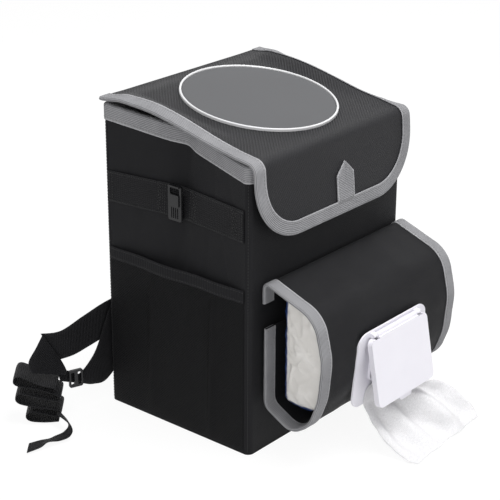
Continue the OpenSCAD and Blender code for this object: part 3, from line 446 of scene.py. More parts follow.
def around(inset, steps_turn=8, steps_long=24, steps_short=18):
    """Points round the footprint, inset from the outer face of the cloth, with their outward direction."""
    points = []
    r = corner_round - inset if inset < corner_round - 1 else 1.0
    long, short = half_wide - inset - r, half_deep - inset - r
    for cx, cy, start in ((-long, -short, 180), (long, -short, 270), (long, short, 0), (-long, short, 90)):
        for k in range(steps_turn + 1):
            a = math.radians(start + 90 * k / steps_turn)
            points.append((cx + r * math.cos(a), cy + r * math.sin(a)))
        a = math.radians(start + 90)
        n = steps_long if start in (180, 0) else steps_short
        run = 2 * long if start in (180, 0) else 2 * short
        for k in range(1, n):
            points.append((cx + r * math.cos(a) - run * k / n * math.sin(a),
                           cy + r * math.sin(a) + run * k / n * math.cos(a)))
    return points


# Base, pulled up a little between its sewn edges
edge_ring = around(0)
shares = np.concatenate([[1, 0.985, 0.96], np.linspace(0.92, 0, 14)])
under = [[(x * s, y * s, 0.35 * ease((1 - s) / 0.1) * (0.6 + 0.4 * soft(x * s, y * s, 0, 45, 8)))
          for x, y in edge_ring] for s in shares]
over = [[(x * s, y * s, cloth_thick) for x, y in edge_ring] for s in shares]
fitted(wall("base_cloth", under, over, ring=True, pole=True, seam=0.0), oxford, "bin", "black_cloth",
       "base_panel")

# ---- Stiff sheets ----
# Grey twin-wall plastic sheet, slipped between cloth and liner in the base, front and back,
# and in the lid. They don't show, but they hold the walls flat.
board_plastic, tree, place = stuff("grey_sheet")
flutes = banded(tree, place["Object"], 0.004)
dressed(tree, mixed(tree, cloudy(tree, place["Object"], 22.0, 4.0), (0.21, 0.21, 0.22), (0.29, 0.29, 0.3)),
        0.45, (0.4, 0.0003, flutes))
for sheet_name in ("base_board", "front_board", "back_board", "lid_board"):
    coated(drawn[sheet_name], board_plastic)

# ---- Liner ----
# Waterproof film bag, heat-sealed, hung from the rim and lying on the base sheet.
# It is a little too large, so it creases where nothing pulls it flat.
liner_in, liner_thick = 3.3, 0.6


def inside_ring(inset, share, low, drop=0.0):
    """Points round the wall, inset from the cloth's face, at a share of the height up to the rim."""
    points = []
    for x, y in around(inset):
        z = low + (rim_height(y) - drop - low) * share
        if abs(y) < straight - 1e-6 and abs(abs(x) - (half_wide - inset)) < 1e-6:
            x = math.copysign(side_x(y, z, inset), x)
        points.append((x, y, z))
    return points


outer, inner = [], []
for share in np.linspace(1, 0, 56):
    outer.append(inside_ring(liner_in, share, liner_in))
    row = []
    for x, y, z in inside_ring(liner_in + liner_thick, share, liner_in + liner_thick):
        free = ease((1 - share) / 0.12)
        crease = 0.9 * max(0, soft(x, y, z, 34, 11)) + 0.7 * (1 - abs(soft(x, y, z, 21, 12))) ** 4
        pull = 1 - crease * free / max(abs(x), abs(y))
        row.append((x * pull, y * pull, z))
    inner.append(row)
for s in np.concatenate([[0.985], np.linspace(0.94, 0, 18)]):
    outer.append([(x * s, y * s, liner_in) for x, y, z in outer[55]])
    rise = 0.8 * ease((1 - s) / 0.06)
    inner.append([(x * s, y * s, z + rise * (1 - abs(soft(x * s, y * s, 0, 30, 13))) ** 3)
                  for x, y, z in inner[55]])
liner_film, tree, place = stuff("grey_liner_film")
mottle = cloudy(tree, place["Object"], 55.0, 4.0)
dressed(tree, mixed(tree, mottle, (0.13, 0.13, 0.14), (0.2, 0.2, 0.21)), ranged(tree, mottle, 0.3, 0.5),
        (0.35, 0.0006, cloudy(tree, place["Object"], 26.0, 4.0, "RIDGED_MULTIFRACTAL", Roughness=0.4)))
fitted(wall("liner_bag", outer, inner, ring=True, pole=True), liner_film, "bin", "liner_film", "liner")

# ---- Rim tape ----
# Grey polyester tape, 14 mm wide on each side, folded over the raw rim of cloth and liner
# and sewn down with one row of stitches that goes through all the layers.
tape_thick, tape_loose = 0.7, 0.3
rim_leg = 14.0


def fold_over(near, far, leg, bend, thick, steps=5):
    """Section of a tape folded over an edge, as offset and drop pairs, for its outside and its inside."""
    outside, inside = [], []
    for drop in np.linspace(leg, bend, 7):
        outside.append((near, drop))
        inside.append((near + thick, drop))
    for side, start in ((near, 180), (far, 270)):
        cx = side + bend if start == 180 else side - bend
        for k in range(steps + 1):
            a = math.radians(start + 90 * k / steps)
            outside.append((cx + bend * math.cos(a), near + bend + bend * math.sin(a)))
            inside.append((cx + (bend - thick) * math.cos(a), near + bend + (bend - thick) * math.sin(a)))
    for drop in np.linspace(bend, leg, 7):
        outside.append((far, drop))
        inside.append((far - thick, drop))
    return outside, inside


def rim_line(inset, drop, waver=0.0):
    """Closed line round the rim at that inset and drop."""
    points = []
    for x, y in around(0, steps_turn=6, steps_long=110, steps_short=96):
        z = rim_height(y) - drop
        at = abs(y) < straight - 1e-6 and abs(x) > half_wide - 1e-6
        cx = math.copysign(half_wide - corner_round, x)
        cy = math.copysign(straight, y)
        if at:
            nx, ny = math.copysign(1, x), 0
            x = math.copysign(side_x(y, z), x)
        elif abs(x) < half_wide - corner_round + 1e-6:
            nx, ny = 0, math.copysign(1, y)
        else:
            nx, ny = (x - cx) / corner_round, (y - cy) / corner_round
        shift = -inset + waver * (0.6 * soft(x, y, z, 5, 21) + 0.4 * soft(x, y, z, 14, 22))
        points.append((x + nx * shift, y + ny * shift, z))
    return points


def worn_edge(section, start, run):
    """Wear of a folded tape, from start down its legs on."""
    return [[max(0, (drop - start) / run)] for _, drop in section]


grey_tape = woven("grey_binding_tape", (0.12, 0.12, 0.128), (0.43, 0.43, 0.445), 0.0009,
                  roughness=0.7, depth=0.0002, ribs=0.0016, fade=0.2)
tape_in = liner_in + liner_thick + tape_loose + tape_thick
over, below = fold_over(-tape_loose - tape_thick, tape_in, rim_leg, 2.0, tape_thick)
fitted(wall("rim_tape", [rim_line(o, d, 0.22) for o, d in over], [rim_line(o, d) for o, d in below],
            ring=True, seam=worn_edge(over, rim_leg - 2.5, 2.5)),
       grey_tape, "bin", "grey_tape", "rim_binding")

thread_paint = {}
for thread_name, shade in (("grey_thread", 0.24), ("dark_thread", 0.03)):
    thread_paint[thread_name], tree, place = stuff(thread_name)
    twist = cloudy(tree, place["Object"], 900.0)
    dressed(tree, mixed(tree, twist, (shade * 0.6,) * 3, (shade * 1.2,) * 3), 0.6)


def named_tree(name, **sizes):
    """An empty geometry tree with a length input for each size."""
    group = bpy.data.node_groups.new(name, "GeometryNodeTree")
    group.interface.new_socket("Geometry", in_out="INPUT", socket_type="NodeSocketGeometry")
    group.interface.new_socket("Geometry", in_out="OUTPUT", socket_type="NodeSocketGeometry")
    for label, value in sizes.items():
        socket = group.interface.new_socket(label, in_out="INPUT", socket_type="NodeSocketFloat")
        socket.default_value = value
    group.interface.new_socket("Finish", in_out="INPUT", socket_type="NodeSocketMaterial")
    return group, put(group, "NodeGroupInput"), put(group, "NodeGroupOutput")


def grown(name, base, group, finish, **sizes):
    """The plain mesh that a geometry tree makes from a base mesh."""
    holder = shown(name, base)
    modifier = holder.modifiers.new("grow", "NODES")
    modifier.node_group = group
    for item in group.interface.items_tree:
        if item.in_out == "INPUT" and item.name in sizes:
            modifier[item.identifier] = float(sizes[item.name])
        if item.in_out == "INPUT" and item.name == "Finish":
            modifier[item.identifier] = finish
    bpy.context.view_layer.update()
    whole = bpy.data.meshes.new_from_object(holder.evaluated_get(bpy.context.evaluated_depsgraph_get()))
    holder.modifiers.clear()
    holder.data = whole
    whole.name = name
    whole.shade_smooth()
    return holder


def real_and_coated(tree, given, made, grown_part, *more):
    """Ends a geometry tree: instances made real, joined with more, and given their finish."""
    solid = put(tree, "GeometryNodeRealizeInstances", (), {0: grown_part}).outputs[0]
    if more:
        both = put(tree, "GeometryNodeJoinGeometry")
        for part in (solid, *more):
            tree.links.new(part, both.inputs[0])
        solid = both.outputs[0]
    coat = put(tree, "GeometryNodeSetMaterial", (), {"Geometry": solid, "Material": given.outputs["Finish"]})
    tree.links.new(coat.outputs[0], made.inputs[0])


# Stitches: one bead of thread every Pitch along each line
stitch_tree, given, made = named_tree("stitches", Pitch=0.003, Length=0.0024, Thickness=0.0005)
line = put(stitch_tree, "GeometryNodeMeshToCurve", (), {"Mesh": given.outputs["Geometry"]})
spaced = put(stitch_tree, "GeometryNodeResampleCurve", {"mode": "LENGTH"}, {
    "Curve": line.outputs[0], "Length": given.outputs["Pitch"]})
heading = put(stitch_tree, "FunctionNodeAlignRotationToVector", {"axis": "Z"}, {
    "Vector": put(stitch_tree, "GeometryNodeInputTangent").outputs[0]})
bead = put(stitch_tree, "GeometryNodeMeshUVSphere", (), {"Segments": 6, "Rings": 4, "Radius": 0.5})
stretch = put(stitch_tree, "ShaderNodeCombineXYZ", (), {
    0: given.outputs["Thickness"], 1: given.outputs["Thickness"], 2: given.outputs["Length"]})
sewn = put(stitch_tree, "GeometryNodeInstanceOnPoints", (), {
    "Points": spaced.outputs[0], "Instance": bead.outputs[0], "Rotation": heading.outputs[0],
    "Scale": stretch.outputs[0]})
real_and_coated(stitch_tree, given, made, sewn.outputs[0])


def stitched(name, lines, thread, body, pitch=3.2, length=2.5, thick=0.55, closed=False):
    """Rows of stitches along lines of points in millimetres."""
    points, edges = [], []
    for line in lines:
        first = len(points)
        points += [[c * mm for c in p] for p in line]
        edges += [(k, k + 1) for k in range(first, len(points) - 1)]
        if closed:
            edges.append((len(points) - 1, first))
    base = bpy.data.meshes.new(name)
    base.from_pydata(points, edges, [])
    piece = grown(name, base, stitch_tree, thread_paint[thread], Pitch=pitch * mm, Length=length * mm,
                  Thickness=thick * mm)
    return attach(piece, body)


stitched("rim_stitches", [rim_line(at, rim_leg - 2.4) for at in (-tape_loose - tape_thick, tape_in)],
         "grey_thread", "bin", closed=True)

corner_lines = [[(side * (half_wide - 0.9), end * (straight + 3.4), z)
                 for z in np.linspace(4, high - 17, 60)]
                for side in (-1, 1) for end, high in ((-1, front_high), (1, back_high))]
stitched("corner_stitches", corner_lines, "dark_thread", "bin", pitch=3.0, length=2.3, thick=0.45)

# ---- Side webbing and clips ----
# 30 mm polypropylene webbing sewn into the corner seams and tacked where the side folds.
# A moulded clip is hooked over it, and holds the edge of a bag.
band_low, band_high, band_off, band_thick = 208.0, 238.0, 0.4, 1.5
webbing = woven("black_webbing", (0.003, 0.003, 0.004), (0.013, 0.013, 0.0145), 0.0022,
                roughness=0.55, shine=0.14, depth=0.0004, ribs=0.0018)


def band_x(y, z):
    """Inner face of the band, which passes straight over the crease of the side."""
    return side_x(y, z, crease=0) + band_off


def band(name, side):
    def at(share, y):
        z = band_low + (band_high - band_low) * share
        lip = 0.35 * abs(2 * share - 1) ** 6
        wave = 0.15 * soft(y, z, side * 9, 24, 31) * ease((straight - abs(y)) / 8)
        x = band_x(y, z) + band_thick - lip + wave - 0.15
        return (side * x, y, z), (side * (band_x(y, z) + lip), y, z), abs(2 * share - 1) ** 8

    return sewn_wall(name, np.linspace(0, 1, 13), np.linspace(-straight, straight, 110), at)


def tack_lines(side):
    """Rows of stitches at both ends of a band, along its edges and beside the clip."""
    def on_band(y, z, out=0.0):
        return side * (band_x(y, z) + band_thick + out), y, z

    lines = [[on_band(y, z) for z in np.linspace(band_low + 2, band_high - 2, 12)]
             for y in (-straight + 2, -straight + 5, straight - 5, straight - 2, -14, -11.5, 18, 20.5)]
    lines += [[on_band(y, z, -0.2) for y in np.linspace(-straight + 1, straight - 1, 60)]
              for z in (band_low + 1.6, band_high - 1.6)]
    zigzag = [(z, -1 if k % 2 == 0 else 1)
              for k, z in enumerate(np.arange(band_low + 3, band_high - 2, 1.6))]
    return lines + [[(*on_band(y, z, 0.05)[:1], y + wide * way, z) for z, way in zigzag]
                    for y, wide in ((-straight + 11, 3.5), (-17.5, 2), (24, 2))]


for side_name, side in (("left", -1), ("right", 1)):
    fitted(band(side_name + "_webbing", side), webbing, "bin", "webbing", side_name + "_band")
    stitched(side_name + "_band_stitches", tack_lines(side), "dark_thread", "bin", pitch=2.6, length=2.0,
             thick=0.45)


def moulded(name, dark, light, roughness, scale=700.0, coat=0.0, shine=0.5):
    """Moulded plastic: fine spark-eroded grain, slightly uneven gloss and a tone that varies a little at
    random.
    """
    material, tree, place = stuff(name)
    flow = cloudy(tree, place["Object"], 24.0, 3.0, Distortion=0.6)
    dressed(tree, mixed(tree, flow, dark, light), ranged(tree, flow, roughness - 0.06, roughness + 0.06),
            (0.12, 0.0001, cloudy(tree, place["Object"], scale)),
            {"Coat Weight": coat, "Specular IOR Level": shine})
    return material


def softened(name, node, edge, sharp=32):
    """A copy of a drawn node with its moulded edges rounded."""
    mesh = bpy.data.meshes.new(name)
    with reshaping(drawn[node].data, mesh) as shape:
        bmesh.ops.remove_doubles(shape, verts=shape.verts, dist=2e-6)
        bmesh.ops.dissolve_limit(shape, angle_limit=math.radians(0.8), verts=shape.verts,
                                 edges=shape.edges)
    piece = shown(name, mesh)
    bevel = piece.modifiers.new("edges", "BEVEL")
    bevel.width, bevel.segments, bevel.limit_method = edge * mm, 2, "ANGLE"
    bevel.angle_limit = math.radians(sharp)
    bevel.harden_normals = True
    smoothed(mesh, sharp)
    return piece


clip_plastic = moulded("black_clip_plastic", (0.008, 0.008, 0.009), (0.016, 0.016, 0.018), 0.28,
                       shine=0.35)
for side_name in ("left", "right"):
    fitted(softened(side_name + "_bag_clip", side_name + "_clip", 0.3), clip_plastic, "bin",
           "black_plastic", side_name + "_clip")

# ---- Mesh side pockets ----
# Knitted polyester net, sewn into the corner and base seams with a little slack, so it hangs
# in soft upright folds. A folded elastic hem gathers its top edge.
mesh_top, hem_high, mesh_low = 163.0, 12.0, 1.5
mesh_seam, mesh_slack, hem_proud = 0.3, 1.2, 1.6
hem_foot = mesh_top - hem_high
pleats = ((3.4, -42, 0.03, 4.6), (2.4, 33, 0.04, 5.5))


def net_x(y, z, lift):
    """The net's place out from the middle, with its waves and the height, place, slant and width
    of its pleats."""
    t = y / straight
    high = min(1, max(0, (z - mesh_low) / mesh_top))
    wave = mesh_slack * (1 - t * t) * (1 + math.sin(math.radians(400 * t + 40 * high)))
    pleat = sum(high_at * math.exp(-((y - at + slant * z) / wide) ** 2)
                for high_at, at, slant, wide in pleats)
    return half_wide + mesh_seam + wave * (0.35 + 0.65 * high) + lift + \
        pleat * ease(z / 25) * ease((hem_foot + 4 - z) / 25)


net_tree, given, made = named_tree("knitted_net", Strand=0.0005)
strands = put(net_tree, "GeometryNodeMeshToCurve", (), {"Mesh": given.outputs["Geometry"]})
round_wire = put(net_tree, "GeometryNodeCurvePrimitiveCircle", (), {
    "Resolution": 3, "Radius": given.outputs["Strand"]})
knitted = put(net_tree, "GeometryNodeCurveToMesh", (), {
    "Curve": strands.outputs[0], "Profile Curve": round_wire.outputs[0], "Fill Caps": True})
real_and_coated(net_tree, given, made, knitted.outputs[0])

net_yarn = moulded("black_net_yarn", (0.0045, 0.0045, 0.005), (0.011, 0.011, 0.012), 0.55, scale=1500.0,
                   shine=0.2)


def net(name, side, pitch=2.6):
    """A lattice of diamonds over the pocket's hanging surface."""
    rows = int((hem_foot - mesh_low) / (pitch / 2))
    cols = int(2 * straight / pitch)
    points, edges = [], []
    for r in range(rows + 1):
        for c in range(cols + 1):
            y = -straight + 2 * straight * min(1, (c + 0.5 * (r % 2)) / cols)
            z = mesh_low + (hem_foot + 0.4 - mesh_low) * r / rows
            points.append((side * net_x(y, z, 0.4) * mm, y * mm, z * mm))
    for r in range(rows):
        for c in range(cols + 1):
            a = r * (cols + 1) + c
            for step in ((0, -1) if r % 2 == 0 else (0, 1)):
                if 0 <= c + step <= cols:
                    edges.append((a, a + cols + 1 + step))
    base = bpy.data.meshes.new(name)
    base.from_pydata(points, edges, [])
    return grown(name, base, net_tree, net_yarn, Strand=0.00027)


def elastic_hem(name, side):
    def at(share, y):
        still = ease((straight - abs(y)) / 6)
        gather = 0.16 * math.sin(y * 2.1 + 2 * soft(y, 0, side, 11, 41)) * still
        lip = 0.4 * abs(2 * share - 1) ** 5
        x, z = net_x(y, hem_foot, hem_proud), hem_foot + hem_high * share
        return ((side * (x + gather - lip - 0.1), y, z + 0.25 * soft(y, 5, side, 15, 42) * still),
                (side * (x - hem_proud + lip), y, z), abs(2 * share - 1) ** 6)

    return sewn_wall(name, np.linspace(0, 1, 9), np.linspace(-straight, straight, 230), at)


elastic = woven("black_elastic", (0.005, 0.005, 0.006), (0.015, 0.015, 0.017), 0.0012,
                roughness=0.7, depth=0.0002, ribs=0.0009)
for side_name, side in (("left", -1), ("right", 1)):
    placed(net(side_name + "_net", side), "bin", "mesh", side_name + "_mesh_pocket")
    fitted(elastic_hem(side_name + "_elastic_hem", side), elastic, "bin", "webbing", side_name + "_hem")
    stitched(side_name + "_hem_stitches",
             [[(side * (net_x(y, hem_foot, hem_proud) - 0.1), y, hem_foot + rise)
               for y in np.linspace(-straight + 1, straight - 1, 120)] for rise in (2.0, 10.4)],
             "dark_thread", "bin", pitch=3.0, length=2.3, thick=0.4)

# ---- Front pocket for the wipes ----
# One doubled strip of the same cloth, sewn to the front at its top end. It passes over the pack,
# down in front of it and up behind it, and closes there with hook and loop tape.
# Both long edges are bound with grey tape, like the rim.
pocket_left, pocket_right = -95.0, 112.0
wrap_thick, tape_out = 1.6, 0.85
plate_x, plate_z = 6.5, 80.0
held_wide, held_high = 52, 39    # Half sizes of what the plate holds flat
hole_wide, hole_high = 36, 20    # Half sizes of the hole behind it
pocket_corners = [(-88.5, 147), (-88.5, 169), (-147, 148), (-156.5, 108), (-153, 70), (-143, 43),
                  (-122, 29), (-90.55, 46), (-90.55, 123)]
pocket_bends = [5, 30, 55, 60, 30, 18, 12]


def bent_line(corners, bends, step):
    """A line with its corners rounded, with a point about every step."""
    line = [np.array(corners[0], float)]
    for k, r in enumerate(bends, 1):
        a, b, c = (np.array(corners[k + i], float) for i in (-1, 0, 1))
        u, v = (a - b) / np.linalg.norm(a - b), (c - b) / np.linalg.norm(c - b)
        half = math.acos(float(u @ v)) / 2
        centre = b + (u + v) / np.linalg.norm(u + v) * r / math.sin(half)
        first, last = b + u * r / math.tan(half) - centre, b + v * r / math.tan(half) - centre
        start = math.atan2(first[1], first[0])
        turn = math.atan2(first[0] * last[1] - first[1] * last[0], float(first @ last))
        n = max(4, int(abs(turn) * r / step))
        line += [centre + r * np.array((math.cos(start + turn * i / n), math.sin(start + turn * i / n)))
                 for i in range(n + 1)]
    line.append(np.array(corners[-1], float))
    dense = [line[0]]
    for p in line[1:]:
        n = max(1, int(np.linalg.norm(p - dense[-1]) / step))
        q = dense[-1]
        dense += [q + (p - q) * i / n for i in range(1, n + 1)]
    return np.array(dense)


def moved_out(line, distance):
    """The line moved sideways, away from the wipes where distance is positive."""
    way = np.gradient(line, axis=0)
    way /= np.linalg.norm(way, axis=1, keepdims=True)
    return line + distance * np.stack([way[:, 1], -way[:, 0]], 1)


pocket_line = bent_line(pocket_corners, pocket_bends, 2.4)
pocket_out, pocket_in = moved_out(pocket_line, 1.0) - pocket_line, moved_out(pocket_line, -wrap_thick)
pocket_way = [(*p, *out, *into) for p, out, into in zip(pocket_line, pocket_out, pocket_in)]


def on_pocket(place, x):
    """Outer and inner face of the strip, which sags and creases where nothing holds it flat."""
    y, z, oy, oz, iy, iz = place
    edge = min(x - pocket_left, pocket_right - x)
    behind_plate = ease((held_wide - abs(x - plate_x)) / 4) * ease((held_high - abs(z - plate_z)) / 4) * \
        (y < -140)
    loose = ease((-94 - y) / 8)
    free = (1 - behind_plate) * ease((edge - 9) / 14) * loose
    lift = 1.3 * soft(x, y, z, 46, 51) + 0.5 * soft(x * 0.5, y, z, 13, 52)
    lift = lift * free + 0.3 * math.sin(x * 0.16) * loose * ease((z - 140) / 15) * free
    lift = min(max(lift, -0.8), 1.1)
    return ((x, y + oy * lift, z + oz * lift), (x, iy + oy * min(lift, 0.4), iz + oz * min(lift, 0.4)),
            0.4 * ease(1 - abs(edge - 13.5) / 2.5))


pocket_cloth = sewn_wall("pocket_cloth", pocket_way, np.linspace(pocket_left, pocket_right, 88), on_pocket)
# The hole behind the dispenser, hemmed between the two faces of the strip
with reshaping(pocket_cloth.data) as shape:
    middles = [(f, f.calc_center_median()) for f in shape.faces]
    hole = [f for f, middle in middles if abs(middle.x * 1000 - plate_x) < hole_wide
            and abs(middle.z * 1000 - plate_z) < hole_high and middle.y < -0.14]
    bmesh.ops.delete(shape, geom=hole, context="FACES")
    bmesh.ops.bridge_loops(shape, edges=[e for e in shape.edges if e.is_boundary])
smoothed(pocket_cloth.data, 50)
fitted(pocket_cloth, oxford, "bin", "black_cloth", "pocket_wrap")


def pocket_edge_line(inset, depth, sign, waver=0.0):
    """Line along the pocket's edge, inset from its end and depth below the strip's outer face."""
    x = pocket_left + inset if sign < 0 else pocket_right - inset
    points = []
    for (y, z), o in zip(pocket_line, pocket_out):
        down = depth - waver * soft(y, z, 3, 6, 63 + sign)
        points.append((x + sign * waver * 0.5 * soft(y, z, 0, 7, 61 + sign),
                       y - o[0] * down, z - o[1] * down))
    return points


over, below = fold_over(-tape_out, wrap_thick + tape_out, 12.5, 1.5, tape_thick, steps=4)
for side_name, sign in (("left", -1), ("right", 1)):
    fitted(wall(side_name + "_pocket_tape", [pocket_edge_line(d, o, sign, 0.18) for o, d in over],
                [pocket_edge_line(d, o, sign) for o, d in below], seam=worn_edge(over, 10.5, 2)),
           grey_tape, "bin", "grey_tape", "pocket_binding_" + side_name)
    rows = [[pocket_edge_line(d, o, sign)[1:-1] for d in (10.3, 2.2)]
            for o in (-tape_out, wrap_thick + tape_out)]
    stitched(side_name + "_pocket_stitches",
             [near for near, far in rows] + [[near[k], far[k]] for near, far in rows for k in (-1, -4, -7)],
             "grey_thread", "bin")

# ---- Hook and loop tape ----
# 25 mm tape behind the wipes and patches under the lid's flap: a woven ground with loops on one
# half and stiff hooks on the other, sewn all round.
pile_tree, given, made = named_tree("pile", Spacing=0.0012, Height=0.0006, Width=0.0003)
spread = put(pile_tree, "GeometryNodeDistributePointsOnFaces", {"distribute_method": "POISSON"}, {
    "Mesh": given.outputs["Geometry"], "Distance Min": given.outputs["Spacing"], "Density Max": 1.2e6,
    "Seed": 7})
tuft = put(pile_tree, "GeometryNodeMeshCone", (), {
    "Vertices": 4, "Radius Top": 0.25, "Radius Bottom": 0.5, "Depth": 1.0})
tuft_size = put(pile_tree, "ShaderNodeCombineXYZ", (), {
    0: given.outputs["Width"], 1: given.outputs["Width"], 2: given.outputs["Height"]})
planted = put(pile_tree, "GeometryNodeInstanceOnPoints", (), {
    "Points": spread.outputs["Points"], "Instance": tuft.outputs["Mesh"],
    "Rotation": spread.outputs["Rotation"], "Scale": tuft_size.outputs[0]})
real_and_coated(pile_tree, given, made, planted.outputs[0], given.outputs["Geometry"])
pile_black = moulded("hook_and_loop", (0.007, 0.007, 0.007), (0.02, 0.02, 0.022), 0.8, scale=900.0,
                     shine=0.2)


def with_pile(name, cell, backward, height, node, body):
    """Hook or loop tape from its face, with a ground that reaches backward and pile of that height."""
    back_faces = bmesh.ops.extrude_face_region(cell, geom=cell.faces[:])
    bmesh.ops.translate(cell, vec=backward,
                        verts=[v for v in back_faces["geom"] if isinstance(v, bmesh.types.BMVert)])
    bmesh.ops.recalc_face_normals(cell, faces=cell.faces)
    mesh = bpy.data.meshes.new(name)
    cell.to_mesh(mesh)
    cell.free()
    piece = grown(name, mesh, pile_tree, pile_black, Spacing=0.0013, Height=height, Width=0.0005)
    placed(piece, body, "hook_tape", node)


def pile_patch(name, node, way):
    """A patch of hook or loop tape in the place of a drawn one, with its pile that way along Y.
    The ground takes up 0.45 of the thickness, and the pile most of the rest."""
    low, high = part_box(node)
    low_t, high_t = (low.y, high.y) if way > 0 else (high.y, low.y)
    ground = low_t + (high_t - low_t) * 0.45
    middle = (low + high) / 2
    cell = bmesh.new()
    bmesh.ops.create_grid(cell, x_segments=24, y_segments=8, size=0.5)
    bmesh.ops.scale(cell, vec=(high.x - low.x, high.z - low.z, 1), verts=cell.verts)
    bmesh.ops.rotate(cell, matrix=Matrix.Rotation(math.radians(-90 * way), 3, "X"), verts=cell.verts)
    bmesh.ops.translate(cell, vec=(middle.x, ground, middle.z), verts=cell.verts)
    with_pile(name, cell, (0, low_t - ground, 0), abs(high_t - ground) * 0.9, node, "bin")


pile_patch("pocket_loop_tape", "pocket_loop_strip", -1)
pile_patch("pocket_hook_tape", "pocket_hook_strip", 1)
pile_patch("flap_loop_patch", "flap_catch", -1)

# ---- Pack of wipes ----
# A sealed pack in crinkled white film with a blue back, full but soft, and rounded where the
# pocket presses on it.
pack_back, pack_foot, low_y = -103.0, 49.0, -143.0
pack_front, pack_top = -156.5, 148
pack_mid, pack_long = 8.5, 186.0
inside = moved_out(bent_line(pocket_corners, pocket_bends, 1.2), -2.1)
start = next(k for k, p in enumerate(inside) if p[0] < -128 and p[1] > 120)
stop = next(k for k, p in enumerate(inside) if k > start and p[0] > low_y + 2 and p[1] < 60)
roof = inside[start] + (pack_back - inside[start][0]) * np.array((1, 21 / 58.5))


def pack_floor(y):
    t = 2 * (y - pack_back) / (low_y - pack_back) - 1
    return pack_foot - 2 * max(0, 1 - t * t)


section = [(pack_back, pack_foot + 0.5), (pack_back, roof[1] - 1)] + \
    [(p[0], max(p[1], pack_floor(p[0]))) for p in inside[start:stop]] + \
    [(y, pack_floor(y)) for y in np.linspace(low_y + 1, pack_back, 20)[:-1]]
section = np.array(section + section[:1])
run = np.concatenate([[0], np.cumsum(np.linalg.norm(np.diff(section, axis=0), axis=1))])
spots = np.linspace(0, run[-1], 181)[:-1]
section = np.stack([np.interp(spots, run, section[:, k]) for k in (0, 1)], 1)
for _ in range(10):
    section = 0.5 * section + 0.25 * (np.roll(section, 1, 0) + np.roll(section, -1, 0))
heart = np.array(((pack_back + pack_front) / 2, (pack_foot + pack_top) / 2))
shoulder = np.linspace(-0.999, -0.93, 12)
pack_rows = [(-1, s) for s in np.linspace(0.0, 0.82, 30)] + \
    list(zip(shoulder, np.interp(shoulder, [-1, -0.985, -0.93], [0.86, 0.93, 0.965]))) + \
    [(u, 0.965 + 0.035 * math.sqrt(max(0, 1 - (abs(u) / 0.93) ** 3)))
     for u in np.linspace(-0.92, 0.92, 90)]
pack_rows += [(-u, s) for u, s in pack_rows[:42][::-1]]
points = []
for u, s in pack_rows:
    flat_end = 1 - ease((1 - abs(u)) / 0.02)
    x = pack_mid + u * pack_long / 2 + math.copysign(2.4, u) * flat_end * (1 - s * s)
    points.append([(x, *(heart + s * (place - heart))) for place in section])
points = np.array(points)
film_out = normals(points, ring=True)
if (film_out[70] * (points[70] - np.array([points[70][0][0], *heart]))).sum() < 0:
    film_out = -film_out
film_out[0] = film_out[1] = (-1, 0, 0)
film_out[-1] = film_out[-2] = (1, 0, 0)


def crumple(x, y, z):
    """Height of the film's ridges and swells at a place."""
    wx, wy, wz = (c + 6 * soft(x, y, z, 26, 70 + i) for i, c in enumerate((x, y, z)))
    ridge = (1 - abs(soft(wx, wy, wz, 19, 73))) ** 6 * 1.2 + (1 - abs(soft(wz, wx, wy, 10, 74))) ** 5 * 0.8
    return ridge + 0.5 * soft(x, y, z, 30, 75) - 0.75


points += film_out * np.array([[crumple(*p) for p in row] for row in points])[:, :, None] * 0.8
points[0], points[-1] = points[0].mean(0), points[-1].mean(0)
pack_mesh = bpy.data.meshes.new("wipes_film")
rows, cols = points.shape[:2]
i, j = (a.ravel() for a in np.meshgrid(np.arange(rows - 1), np.arange(cols), indexing="ij"))
k = (j + 1) % cols
cell = np.stack([i * cols + j, (i + 1) * cols + j, (i + 1) * cols + k, i * cols + k], 1)
pack_mesh.from_pydata((points.reshape(-1, 3) * mm).tolist(), [], cell.tolist())
printed = pack_mesh.attributes.new("print", "FLOAT", "POINT")
printed.data.foreach_set("value", [
    max(ease((y - pack_back + 6.5) / 1.5), ease((pack_foot + 5.5 - z) / 1.5))
    for _, y, z in points.reshape(-1, 3)])
with reshaping(pack_mesh) as shape:
    bmesh.ops.remove_doubles(shape, verts=shape.verts, dist=1e-6)
    bmesh.ops.recalc_face_normals(shape, faces=shape.faces)
pack_mesh.shade_smooth()
film, tree, place = stuff("white_film")
warp = put(tree, "ShaderNodeTexNoise", (), {"Vector": place["Object"], "Scale": 30.0}).outputs
bent = put(tree, "ShaderNodeMix", {"data_type": "VECTOR"}, {0: 0.03, 4: place["Object"], 5: warp["Color"]})
crinkle = cloudy(tree, bent.outputs[1], 55.0, 5.0, "RIDGED_MULTIFRACTAL", Roughness=0.45)
milk = mixed(tree, crinkle, (0.7, 0.68, 0.65), (0.93, 0.91, 0.89))
dressed(tree, mixed(tree, marked(tree, "print"), milk, (0.008, 0.028, 0.12)),
        ranged(tree, warp["Fac"], 0.3, 0.45), (1.0, 0.002, crinkle))
pack = fitted(shown("wipes_film", pack_mesh), film, "bin", "pack_film", "wipes_pack")

# ---- Dispenser plate ----
# Glossy white polypropylene plate stuck over the mouth of the pack, with a collar round the
# mouth and two ears for the lid's hinge pin.
white_plastic = moulded("white_dispenser_plastic", (0.8, 0.785, 0.85), (0.86, 0.845, 0.9), 0.3, coat=0.1)
fitted(softened("dispenser_plate", "dispenser_base", 0.35), white_plastic, "bin", "white_plastic",
       "dispenser_base")

# ---- The wipe that hangs out ----
# A damp non-woven sheet, pulled out through the mouth. It slides down over the plate and fans
# out on the floor in a few deep folds.
face_back, face_high = 3.5, 38    # How far back the pocket's face leans over that height
tilt = math.atan(face_back / face_high)
face_y = -153 - face_back * 10 / face_high
plate_face = 2.1


def on_plate(x, up, out):
    away = plate_face + out
    return np.array((plate_x + x, face_y - up * math.sin(tilt) - away * math.cos(tilt),
                     plate_z + up * math.cos(tilt) - away * math.sin(tilt)))


